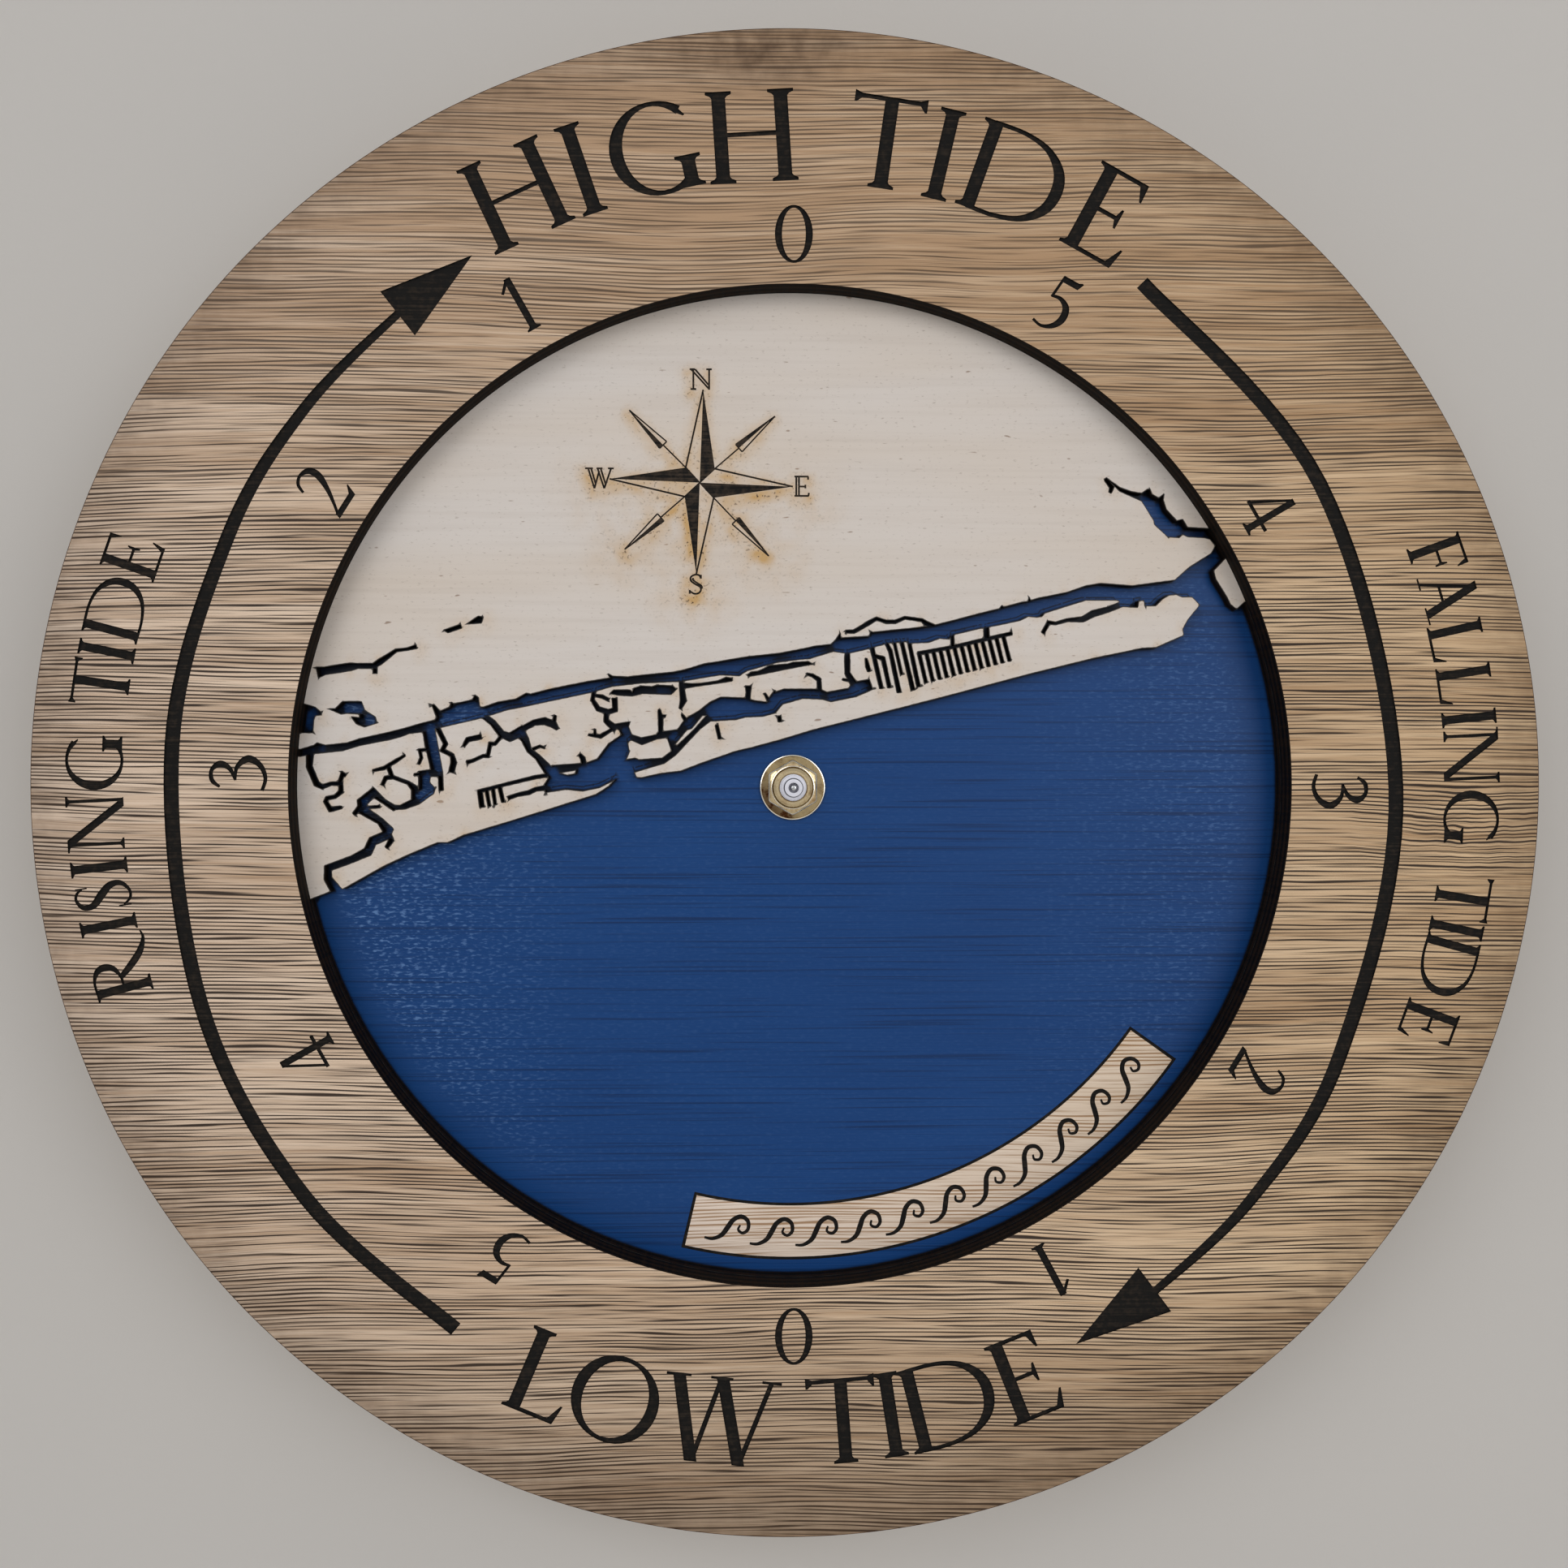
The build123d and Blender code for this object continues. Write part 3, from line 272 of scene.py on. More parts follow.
GLYPHS = {
    "A": [slant(0.06, 0, 0.385, 1, 0.06), slant(0.64, 0, 0.345, 1.02, 0.15),
          bar(0.16, 0.56, 0.33, 0.33 + HAIR), FOOT_AT["A_left"], FOOT_AT["A_right"]],
    "D": [stem(0, foot=(SERIF, 0), head=(SERIF, 0)),
          sweep([(0.06, 0.979, HAIR), (0.41, 0.979, HAIR), (0.7, 0.9, 0.07), (0.89, 0.72, 0.115),
                 (0.945, 0.5, 0.135), (0.88, 0.27, 0.115), (0.68, 0.095, 0.07), (0.385, 0.021, HAIR),
                 (0.06, 0.021, HAIR)])],
    "E": [stem(0, foot=(SERIF, 0), head=(SERIF, 0)), TOP_ARM, MIDDLE_ARM, BOTTOM_ARM],
    "F": [stem(0, head=(SERIF, 0)), TOP_ARM, MIDDLE_ARM],
    "G": [bowl(0.52, 0.5, 0.455, 0.485, 48, 312, 0.15), stem(0.74, 0.02, 0.37),
          [(0.775, 0.845), (0.82, 0.89), (0.885, 0.8), (0.865, 0.79)]],
    "H": [stem(0), stem(0.68), bar(0.1, 0.72, 0.5, 0.5 + HAIR)],
    "I": [stem(0)],
    "L": [stem(0, foot=(SERIF, 0)), BOTTOM_ARM],
    "N": [stem(0.05, width=0.06, head=(SERIF, 0)), stem(0.82, bottom=-0.01, width=0.06, foot=(0, 0)),
          slant(0.085, 1, 0.815, -0.02, 0.165), bar(-0.06, 0.1, 1 - THIN, 1)],
    "O": [bowl(0.52, 0.5, 0.45, 0.485, start, start + 184, 0.14, lean=-12) for start in (88, -92)],
    "R": [stem(0, head=(SERIF, 0)),
          sweep([(0.08, 0.979, HAIR), (0.3, 0.979, HAIR), (0.47, 0.89, 0.1), (0.515, 0.75, 0.13),
                 (0.46, 0.6, 0.1), (0.29, 0.505, HAIR), (0.08, 0.5, HAIR)]),
          sweep([(0.27, 0.52, 0.09), (0.43, 0.3, 0.125), (0.64, 0.07, 0.12), (0.86, -0.05, 0.06),
                 (1.0, -0.03, 0.025)])],
    "S": [sweep([(0.43, 0.85, 0.03), (0.36, 0.95, 0.05), (0.24, 0.975, 0.055), (0.105, 0.87, 0.09),
                 (0.12, 0.69, 0.12), (0.28, 0.53, 0.145), (0.43, 0.36, 0.125), (0.45, 0.17, 0.09),
                 (0.31, 0.03, 0.055), (0.16, 0.035, 0.05), (0.06, 0.16, 0.03)]),
          bar(0.425, 0.45, 0.76, 0.97), bar(0.035, 0.06, 0.03, 0.25)],
    "T": [stem(0.335, head=(0, 0)), bar(0.03, 0.775, 1 - HAIR, 1),
          [(0.0, 0.9), (0.025, 0.9), (0.08, 1 - HAIR), (0.08, 1.0), (0.0, 1.03)],
          [(0.805, 0.88), (0.78, 0.88), (0.725, 1 - HAIR), (0.725, 1.0), (0.805, 1.03)]],
    "W": [slant(0.37, -0.02, 0.125, 1, 0.15), slant(0.375, -0.02, 0.63, 1, 0.06),
          slant(0.93, -0.02, 0.635, 1, 0.15), slant(0.93, -0.02, 1.215, 1, 0.06), FOOT_AT["W_left"],
          FOOT_AT["W_middle"], FOOT_AT["W_right"]],
    "0": [bowl(0.33, 0.5, 0.27, 0.48, start, start + 184, 0.125) for start in (88, -92)],
    "1": [stem(0.17, width=0.125, head=(0, 0)), [(0.02, 0.8), (0.2, 1.0), (0.295, 1.0), (0.24, 0.95),
                                                 (0.06, 0.77)]],
    "2": [sweep([(0.06, 0.77, 0.045), (0.13, 0.92, 0.06), (0.28, 0.975, 0.06), (0.43, 0.89, 0.11),
                 (0.45, 0.71, 0.125), (0.34, 0.46, 0.085), (0.19, 0.23, 0.055), (0.06, 0.06, 0.05)]),
          [(0.02, 0.0), (0.52, 0.0), (0.6, 0.21), (0.575, 0.21), (0.47, 0.105), (0.05, 0.105)]],
    "3": [sweep([(0.085, 0.81, 0.045), (0.195, 0.945, 0.08), (0.375, 0.955, 0.07), (0.485, 0.81, 0.115),
                 (0.4, 0.64, 0.08), (0.205, 0.545, 0.04)]),
          sweep([(0.205, 0.545, 0.04), (0.435, 0.52, 0.075), (0.585, 0.33, 0.13), (0.475, 0.12, 0.095),
                 (0.255, 0.025, 0.07), (0.035, 0.08, 0.06)])],
    "4": [stem(0.36, width=0.12, head=(0, 0)), slant(0.035, 0.3, 0.4, 1, 0.055),
          bar(0.0, 0.62, 0.265, 0.33)],
    "5": [[(0.15, 0.875), (0.47, 0.875), (0.53, 1.01), (0.5, 1.02), (0.44, 0.99), (0.15, 0.99)],
          slant(0.125, 0.56, 0.17, 0.97, 0.05),
          sweep([(0.115, 0.575, 0.045), (0.28, 0.6, 0.075), (0.44, 0.5, 0.12), (0.475, 0.3, 0.13),
                 (0.38, 0.12, 0.095), (0.2, 0.025, 0.055), (0.02, 0.06, 0.05)])],
}


def set_glyph(character, height, angle, radius, inward=False):
    """Strokes of one glyph set on the dial with its middle at a clock angle and radius."""
    strokes = GLYPHS[character]
    across = [x for stroke in strokes for x, _ in stroke]
    middle = (min(across) + max(across)) / 2
    turn = math.radians(angle + (180 if inward else 0))
    base = polar(angle, radius)
    placed = []
    for stroke in strokes:
        local = [((x - middle) * height, (y - 0.5) * height) for x, y in stroke]
        placed.append([(base[0] + u * math.cos(turn) + v * math.sin(turn),
                        base[1] - u * math.sin(turn) + v * math.cos(turn)) for u, v in local])
    return placed


# The ring's scale: legends as letter, clock angle and any shift outward; then radius, letter height and
# whether the tops point inward
LEGENDS = [
    ([("H", 334.9), ("I", 341.0), ("G", 347.6), ("H", 356.3), ("T", 8.1), ("I", 13.3), ("D", 20.0),
      ("E", 28.7, 0.8)],
     131.0, 18.4, False),
    ([("L", 203.0), ("O", 196.3), ("W", 186.7), ("T", 175.6), ("I", 171.2), ("D", 165.8), ("E", 158.5)],
     129.0, 17.4, True),
    ([("R", 255.2), ("I", 258.7), ("S", 261.2), ("I", 263.5), ("N", 267.1), ("G", 272.1), ("T", 278.6),
      ("I", 281.3), ("D", 284.9), ("E", 289.4)], 139.8, 11.3, False),
    ([("F", 70.2, 0.8), ("A", 73.6, 0.7), ("L", 77.5), ("L", 81.2), ("I", 84.1), ("N", 87.3), ("G", 92.5),
      ("T", 99.3), ("I", 102.0), ("D", 105.3), ("E", 110.4)], 138.5, 11.3, False),
    ([("0", 0.0), ("5", 28.6), ("4", 59.6), ("3", 90.4), ("2", 121.7), ("1", 151.7), ("0", 180.0),
      ("5", 211.7), ("4", 241.0), ("3", 271.6), ("2", 302.5), ("1", 330.3)], 111.3, 11.5, False),
]
# Each arrow: its line as clock angle, radius and width, then the three corners of its head
ARROWS = [
    ([(34.6, 124.0, 3.0), (60, 123.4, 3.0), (90, 122.8, 3.1), (116, 124.2, 3.0), (132, 125.7, 2.4),
      (145, 126.6, 1.6)],
     [(153.1, 127.2), (144.2, 131.8), (144.3, 120.5)]),
    ([(212, 128.8, 3.0), (230, 128.2, 3.0), (250, 126.5, 3.0), (274, 124.6, 3.0), (294, 123.7, 2.8),
      (308, 123.7, 2.3), (321, 123.6, 1.6)], [(328.9, 124.45), (320.05, 118.0), (320.2, 129.1)]),
]


def ring_marks():
    """Every engraved stroke on the ring."""
    marks = []
    for letters, radius, height, inward in LEGENDS:
        for character, angle, *shift in letters:
            marks += set_glyph(character, height, angle, radius + sum(shift), inward)
    for line, head in ARROWS:
        marks.append(sweep([(*polar(angle, radius), width) for angle, radius, width in line], 12))
        marks.append([polar(angle, radius) for angle, radius in head])
    return marks


ROSE_CENTRE = (-19.1, 62.45)
ROSE_TILT = 2.2
ROSE_LINE = 0.3
ROSE_WAIST = 4.2
ROSE_LETTER = 4.25
# The rose's letters in fine lines, one unit tall, with their thick strokes doubled
ROSE_LETTERS = {
    "N": [[(0.14, 0), (0.14, 0.98)], [(0, 0.03), (0.28, 0.03)], [(-0.04, 0.98), (0.22, 0.98)],
          [(0.03, 0.98), (0.91, 0.02)], [(0.22, 0.98), (0.9, 0.2)], [(0.9, 0), (0.9, 0.98)],
          [(0.76, 0.98), (1.03, 0.98)]],
    "E": [[(0.09, 0), (0.09, 1)], [(0.22, 0), (0.22, 1)], [(0, 0.97), (0.68, 0.97)],
          [(0.66, 0.97), (0.66, 0.82)], [(0.22, 0.49), (0.54, 0.49)], [(0.53, 0.4), (0.53, 0.58)],
          [(0, 0.04), (0.7, 0.04)], [(0.68, 0.04), (0.7, 0.19)]],
    "S": [[(0.58, 0.76), (0.5, 0.92), (0.3, 0.95), (0.1, 0.84), (0.1, 0.66), (0.3, 0.5), (0.53, 0.37),
           (0.58, 0.21), (0.46, 0.06), (0.24, 0.04), (0.04, 0.17)],
           [(0.2, 0.8), (0.22, 0.68), (0.42, 0.54), (0.6, 0.42), (0.64, 0.28)],
          [(0.58, 0.95), (0.58, 0.76)], [(0.04, 0.03), (0.04, 0.22)]],
    "W": [[(0.15, 0.98), (0.45, 0.02)], [(0.29, 0.98), (0.52, 0.2)], [(0.45, 0.02), (0.68, 0.86)],
          [(0.6, 0.98), (0.92, 0.02)], [(0.75, 0.98), (0.99, 0.2)], [(0.92, 0.02), (1.25, 0.98)],
          [(0, 0.98), (0.38, 0.98)], [(0.55, 0.98), (0.84, 0.98)], [(1.1, 0.98), (1.38, 0.98)]],
}


def rose_marks():
    """Compass rose: four long points with one dark half, four small darts and the letters."""
    def at(angle, radius):
        x, z = polar(angle + ROSE_TILT, radius)
        return (ROSE_CENTRE[0] + x, ROSE_CENTRE[1] + z)

    def line(a, b, width=ROSE_LINE):
        return sweep([(*a, width), (*b, width)], 0)

    marks = []
    for heading, reach in ((0, 19.0), (90, 19.1), (180, 18.65), (270, 18.45)):
        tip, dark, light = at(heading, reach), at(heading + 45, ROSE_WAIST), at(heading - 45, ROSE_WAIST)
        marks.append([at(heading, 0.0), tip, dark])
        marks.append(line(tip, light, 0.36))
        marks.append(line(at(0, 0), light))
    for corner, heading in ((45, 46.3), (135, 134.4), (225, 226.1), (315, 313.5)):
        tip, middle = at(heading, 20.6), at(heading, 10.7)
        side = polar(heading + ROSE_TILT + 90, 1.0)
        left, right = [(middle[0] + k * side[0], middle[1] + k * side[1]) for k in (-1, 1)]
        marks.append([tip, middle, left])
        marks += [line(tip, left), line(tip, right), line(left, right), line(at(corner, ROSE_WAIST), middle)]
    for character, heading, reach in (("N", -1.6, 21.1), ("E", 89.6, 20.9), ("S", 180, 20.75),
                                      ("W", 270, 20.5)):
        strokes = ROSE_LETTERS[character]
        across = [x for stroke in strokes for x, _ in stroke]
        left, bottom = at(heading, reach)
        left -= (min(across) + max(across)) / 2 * ROSE_LETTER
        bottom -= ROSE_LETTER / 2
        for stroke in strokes:
            points = [(left + x * ROSE_LETTER, bottom + y * ROSE_LETTER, 0.38) for x, y in stroke]
            marks.append(sweep(points, 4 if len(points) > 2 else 0))
    return marks


PLAQUE_INNER = 86.9
PLAQUE_OUTER = 98.2
PLAQUE_ENDS = (125.5, 193.4)


def plaque_outline(inset=0.0):
    """The bare field low on the sea, a strip of arc."""
    lean = math.degrees(inset / PLAQUE_INNER)
    first, last = PLAQUE_ENDS[0] + lean, PLAQUE_ENDS[1] - lean
    angles = [first + (last - first) * i / 60 for i in range(61)]
    inner = [polar(a, PLAQUE_INNER + inset) for a in angles]
    return inner + [polar(a, PLAQUE_OUTER - inset) for a in reversed(angles)]


def plaque_marks():
    """Scored edge of the plaque and a running-wave scroll along it."""
    outer, inner = plaque_outline(-0.3), plaque_outline(0.3)
    marks = [[outer[i - 1], outer[i], inner[i], inner[i - 1]] for i in range(len(outer))]
    first, last = PLAQUE_ENDS
    middle = (PLAQUE_INNER + PLAQUE_OUTER) / 2
    waves = 11
    step = (last - first - 5) / waves
    for i in range(waves):
        start = first + 2.5 + (i + 0.5) * step

        def along(right, up):
            return polar(start - right * math.degrees(1 / middle), middle - up)

        crest = [(-4.9, 2.9, 0.5), (-3.3, 2.9, 0.7), (-1.6, 1.9, 0.95), (-0.6, 0.2, 1.1), (0.4, -1.6, 1.0),
                 (2.0, -2.5, 0.95), (3.5, -1.7, 0.85), (3.7, 0.0, 0.75), (2.7, 0.9, 0.65), (1.7, 0.3, 0.55),
                 (2.0, -0.7, 0.4)]
        marks.append(sweep([(*along(right, -up), width) for right, up, width in crest], 5))
    return marks


# Meshes


def show_piece(name, mesh, materials, kinds, body, angle):
    """A finished mesh as a piece on a body, smooth but for its sharp edges."""
    for material in materials:
        mesh.materials.append(material)
    mesh.polygons.foreach_set("material_index", kinds)
    mesh.polygons.foreach_set("use_smooth", [True] * len(mesh.polygons))
    mesh.update()
    mesh.set_sharp_from_angle(angle=math.radians(angle))
    piece = bpy.data.objects.new(name, mesh)
    bpy.context.scene.collection.objects.link(piece)
    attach(piece, body)
    return piece


def add_piece(name, verts, faces, kinds, materials, body, angle=30.0):
    """A mesh piece on a body, each face with the number of its material."""
    mesh = bpy.data.meshes.new(name)
    mesh.from_pydata(verts, [], faces)
    return show_piece(name, mesh, materials, kinds, body, angle)


def triangulated(outlines, points=()):
    """Triangles over closed outlines, each with the set of outlines that it lies in."""
    coords, loops = [], []
    for outline in outlines:
        area = sum(a[0] * b[1] - a[1] * b[0] for a, b in zip(outline, outline[1:] + outline[:1]))
        loops.append(list(range(len(coords), len(coords) + len(outline))))
        coords += [Vector(place) for place in (outline if area > 0 else reversed(outline))]
    coords += [Vector(place) for place in points]
    found = geometry.delaunay_2d_cdt(coords, [], loops, 0, 1e-5, True)
    return found[0], found[2], [set(origin) for origin in found[5]]


FACE, MARK, EDGE, BACK, FIELD = range(5)


def engraved_sheet(name, rim, holes, marks, front, back, depth, materials, ease=0.0, fields=(),
                   points=()):
    """A flat sheet that faces the front: marks are sunk to a depth, fields are level with their own finish.
    The rim and holes are given eased by that much, and the walls bulge out to the full size."""
    outlines = [rim] + list(holes) + list(marks) + list(fields)
    hole_numbers = set(range(1, 1 + len(holes)))
    mark_numbers = set(range(1 + len(holes), 1 + len(holes) + len(marks)))
    field_numbers = set(range(1 + len(holes) + len(marks), len(outlines)))
    places, triangles, origins = triangulated(outlines, points)
    kept = []
    for triangle, origin in zip(triangles, origins):
        if 0 in origin and not origin & hole_numbers:
            kind = MARK if origin & mark_numbers else FIELD if origin & field_numbers else FACE
            kept.append((triangle, kind))
    verts, faces, kinds, known = [], [], [], {}

    def vertex(number, height, outset=(0.0, 0.0)):
        key = (number, round(height, 5), round(outset[0], 5), round(outset[1], 5))
        if key not in known:
            known[key] = len(verts)
            x, z = places[number]
            verts.append(((x + outset[0]) * MM, -height * MM, (z + outset[1]) * MM))
        return known[key]

    owner = {}
    for triangle, kind in kept:
        for i in range(3):
            owner[triangle[i - 1], triangle[i]] = kind
    for triangle, kind in kept:
        level = front - depth if kind == MARK else front
        faces.append([vertex(number, level) for number in triangle])
        kinds.append(kind)
    outward = {}
    border = [pair for pair in owner if pair[::-1] not in owner]
    for a, b in border:
        run = places[b] - places[a]
        side = Vector((run.y, -run.x)).normalized()
        for number in (a, b):
            outward[number] = outward.get(number, Vector((0, 0))) + side
    rows = [(0.0, front), (0.0, back)]
    if ease:
        rows = [(0.0, front), (0.7 * ease, front - 0.3 * ease), (ease, front - ease), (ease, back + 0.02),
                (0.0, back)]
    for a, b in border:
        sides = [outward[number].normalized() for number in (a, b)]
        for (out0, high), (out1, low) in zip(rows, rows[1:]):
            faces.append([vertex(a, high, sides[0] * out0), vertex(a, low, sides[0] * out1),
                          vertex(b, low, sides[1] * out1), vertex(b, high, sides[1] * out0)])
            kinds.append(EDGE)
    for (a, b), kind in owner.items():
        if kind != MARK and owner.get((b, a)) == MARK:
            faces.append([vertex(a, front), vertex(a, front - depth), vertex(b, front - depth),
                          vertex(b, front)])
            kinds.append(MARK)
    back_start = len(verts)
    back_places, back_triangles, back_origins = triangulated([rim] + list(holes))
    verts += [(x * MM, -back * MM, z * MM) for x, z in back_places]
    for triangle, origin in zip(back_triangles, back_origins):
        if 0 in origin and not origin & hole_numbers:
            faces.append([back_start + number for number in reversed(triangle)])
            kinds.append(BACK)
    return add_piece(name, verts, faces, kinds, materials, "root")


def front_outlines(node):
    """Closed outlines of a solid's front face, the rim first, right and up in millimetres."""
    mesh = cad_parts[node].data
    front = min(vertex.co.y for vertex in mesh.vertices)
    directed = Counter()
    for polygon in mesh.polygons:
        corners = [mesh.vertices[number].co for number in polygon.vertices]
        if max(corner.y for corner in corners) < front + 0.01 * MM:
            keys = [(round(corner.x / MM, 3), round(corner.z / MM, 3)) for corner in corners]
            directed.update((keys[i - 1], keys[i]) for i in range(len(keys)) if keys[i - 1] != keys[i])
    following = {}
    for a, b in sorted(directed):
        if directed[a, b] > directed[b, a]:
            following.setdefault(a, []).append(b)
    loops = []
    while following:
        start = place = next(iter(following))
        loop = []
        heading = 0.0
        while place in following:
            loop.append(place)
            # Where outlines touch, the sharpest left turn stays on the same one
            turns = [(math.atan2(b[1] - place[1], b[0] - place[0]) - heading + math.pi) % (2 * math.pi)
                     for b in following[place]]
            onward = following[place].pop(turns.index(max(turns)))
            if not following[place]:
                del following[place]
            heading = math.atan2(onward[1] - place[1], onward[0] - place[0])
            place = onward
            if place == start:
                break
        loops.append(loop)
    area = [abs(sum(a[0] * b[1] - a[1] * b[0] for a, b in zip(loop, loop[1:] + loop[:1])))
            for loop in loops]
    return [loop for _, loop in sorted(zip(area, loops), key=lambda pair: -pair[0])]


def turned_piece(name, profile, materials, body, centre=(0, 0), count=120, axis="Y", painted_highlight_rows=()):
    """A closed (radius, height) profile turned about an axis towards the front; it may vary with the angle.
    The profile's lines with the numbers in painted_highlight_rows have the second material, a painted
    highlight."""
    verts, faces = [], []
    for i in range(count):
        angle = 2 * math.pi * i / count
        for radius, height in profile(angle) if callable(profile) else profile:
            u, v = radius * math.cos(angle), radius * math.sin(angle)
            if axis == "Y":
                verts.append(((centre[0] + u) * MM, -height * MM, (centre[1] + v) * MM))
            else:
                verts.append((height * MM, (centre[0] - u) * MM, (centre[1] + v) * MM))
    rows = len(verts) // count
    for i in range(count):
        here, there = i * rows, (i + 1) % count * rows
        for k in range(rows):
            n = (k + 1) % rows
            faces.append([here + k, there + k, there + n, here + n])
    kinds = [1 if number % rows in painted_highlight_rows else 0 for number in range(len(faces))]
    return add_piece(name, verts, faces, kinds, materials, body, 32.0)


def eased_copy(node, width, material, body="root"):
    """A solid's twin with its sharp edges eased, as moulding and stamping leave them."""
    shape = bmesh.new()
    shape.from_mesh(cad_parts[node].data)
    bmesh.ops.remove_doubles(shape, verts=shape.verts, dist=0.002 * MM)
    bmesh.ops.dissolve_limit(shape, angle_limit=math.radians(1), verts=shape.verts, edges=shape.edges)
    sharp = [edge for edge in shape.edges
             if len(edge.link_faces) == 2 and edge.calc_face_angle(0) > math.radians(35)]
    bmesh.ops.bevel(shape, geom=sharp, offset=width * MM, offset_type="OFFSET", segments=2, profile=0.5,
                    affect="EDGES", clamp_overlap=True)
    bmesh.ops.recalc_face_normals(shape, faces=shape.faces)
    mesh = bpy.data.meshes.new(node + "_dressed")
    shape.to_mesh(mesh)
    shape.free()
    piece = show_piece(node + "_dressed", mesh, [material], [0] * len(mesh.polygons), body, 32.0)
    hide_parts(node)
    return piece


# Materials

# A wave texture of scale 1 repeats after this length
WAVE_PERIOD = 0.314


def join(node, inputs):
    """Set a node's inputs, each to a value, an output or another node's first output in use."""
    for key, value in inputs.items():
        if isinstance(value, bpy.types.Node):
            value = next(output for output in value.outputs if output.enabled)
        if isinstance(value, bpy.types.NodeSocket):
            node.id_data.links.new(value, node.inputs[key])
        else:
            node.inputs[key].default_value = value


def add_node(material, kind, inputs=None, **settings):
    """A shader node with its settings and links."""
    node = material.node_tree.nodes.new("ShaderNode" + kind)
    for name, value in settings.items():
        setattr(node, name, value)
    join(node, inputs or {})
    return node


def new_material(name, **constants):
    """A material with its shader's plain values set; gives the material, the function that adds its nodes,
    its shader and the object's own places."""
    material = bpy.data.materials.new(name)
    material.use_nodes = True
    add = partial(add_node, material)
    shader = material.node_tree.nodes["Principled BSDF"]
    join(shader, {key.replace("_", " "): value for key, value in constants.items()})
    return material, add, shader, add("TexCoord").outputs["Object"]


def from_axis(add, places):
    """How far each place lies from the hand shaft's axis."""
    level = add("VectorMath", {0: places, 1: (1, 0, 1)}, operation="MULTIPLY")
    return add("VectorMath", {0: level}, operation="LENGTH")


def open_pore_ply(name, light, dark, pore_colour):
    """Open-pored veneer, bare or brushed with stain: soft tone bands crossed by long dark pores."""
    material, add, shader, places = new_material(name, IOR=1.5, Specular_IOR_Level=0.3)
    # A small knot at the right and a blot of stain at the top: middle and reach in millimetres
    near = {}
    for spot, middle, reach in (
            ("knot", (137, -32, -8), (24, 50, 12)),
            ("blot", (-6, -32, 147), (22, 50, 10))):
        around = add("Mapping", {"Vector": places, "Location": Vector(middle) * MM,
                                 "Scale": Vector(reach) * MM},
                     vector_type="TEXTURE")
        near[spot] = add("TexGradient", {"Vector": around}, gradient_type="SPHERICAL").outputs["Fac"]
    # The grain runs level, wanders by a millimetre over a hand's width, and curls round the knot
    sway = add("TexNoise", {"Vector": places, "Scale": 1 / (80 * MM), "Detail": 1.0}).outputs["Color"]
    bent = add("VectorMath", {0: sway, 1: (0, 0, 5 * MM), 2: places}, operation="MULTIPLY_ADD")
    curl = add("TexNoise", {"Vector": places, "Scale": 1 / (9 * MM), "Detail": 2.0}).outputs["Color"]
    curled = add("VectorMath", {0: curl, 1: (0, 0, 3 * MM)}, operation="MULTIPLY")
    by_knot = add("VectorMath", {0: curled, "Scale": near["knot"]}, operation="SCALE")
    bent = add("VectorMath", {0: bent, 1: by_knot}, operation="ADD")
    # Patterns along the grain, each with its length and height in millimetres, detail and roughness
    grain = {}
    for pattern, length, height, detail, roughness in (
            ("band", 150, 9, 3.0, 0.55),
            ("growth", 60, 0.9, 4.0, 0.65),
            ("wander", 45, 2.4, 2.0, 0.5),
            ("broken", 40, 0.6, 2.0, 0.6),
            ("crowd", 80, 7, 2.0, 0.5),
            ("hair", 20, 0.24, 2.0, 0.6)):
        drawn = add("Mapping", {"Vector": bent, "Scale": (1 / (length * MM), 1, 1 / (height * MM))})
        grain[pattern] = add("TexNoise", {"Vector": drawn, "Scale": 1.0, "Detail": detail,
                                          "Roughness": roughness})
    # Rows of pores 0.8 mm apart: each is a dark line 0.25 mm thick, broken every 20 to 60 mm,
    # and strong where pores crowd together
    height = add("SeparateXYZ", {"Vector": bent}).outputs["Z"]
    phase = add("Math", {0: height, 1: 2 * math.pi / (0.8 * MM)}, operation="MULTIPLY")
    phase = add("Math", {0: grain["wander"], 1: 16.0, 2: phase}, operation="MULTIPLY_ADD")
    crest = add("Math", {0: phase}, operation="SINE")
    line = add("MapRange", {"Value": crest, "From Min": -0.05, "From Max": 0.65})
    lowest = add("MapRange", {"Value": grain["crowd"], "From Min": 0.36, "From Max": 0.62,
                              "To Min": 0.55, "To Max": 0.36})
    depth = add("Math", {0: grain["broken"], 1: lowest}, operation="SUBTRACT")
    strength = add("MapRange", {"Value": depth, "From Min": -0.06, "From Max": 0.05})
    long_pores = add("Math", {0: line, 1: strength}, operation="MULTIPLY")
    # Short hair pores between them
    short_pores = add("MapRange", {"Value": grain["hair"], "From Min": 0.53, "From Max": 0.68,
                                   "To Max": 0.6})
    pores = add("Math", {0: long_pores, 1: short_pores}, operation="MAXIMUM")
    # Towards the top the veneer is closer-grained and took the stain evenly
    place = add("SeparateXYZ", {"Vector": places})
    close_grain = add("MapRange", {"Value": place.outputs["Z"], "From Min": 50 * MM, "From Max": 110 * MM})
    tone = add("Math", {0: grain["band"], 1: 0.75, 2: grain["growth"]}, operation="MULTIPLY_ADD")
    even = add("Math", {0: close_grain, 1: 0.2, 2: tone}, operation="MULTIPLY_ADD")
    shade = add("MapRange", {"Value": even, "From Min": 0.68, "From Max": 1.12})
    stained = add("Mix", {0: shade, 6: light, 7: dark}, data_type="RGBA")
    open_grain = add("Math", {0: close_grain, 1: -0.24, 2: 0.98}, operation="MULTIPLY_ADD")
    filled = add("Math", {0: pores, 1: open_grain}, operation="MULTIPLY")
    dotted = add("Mix", {0: filled, 6: stained, 7: pore_colour}, data_type="RGBA")
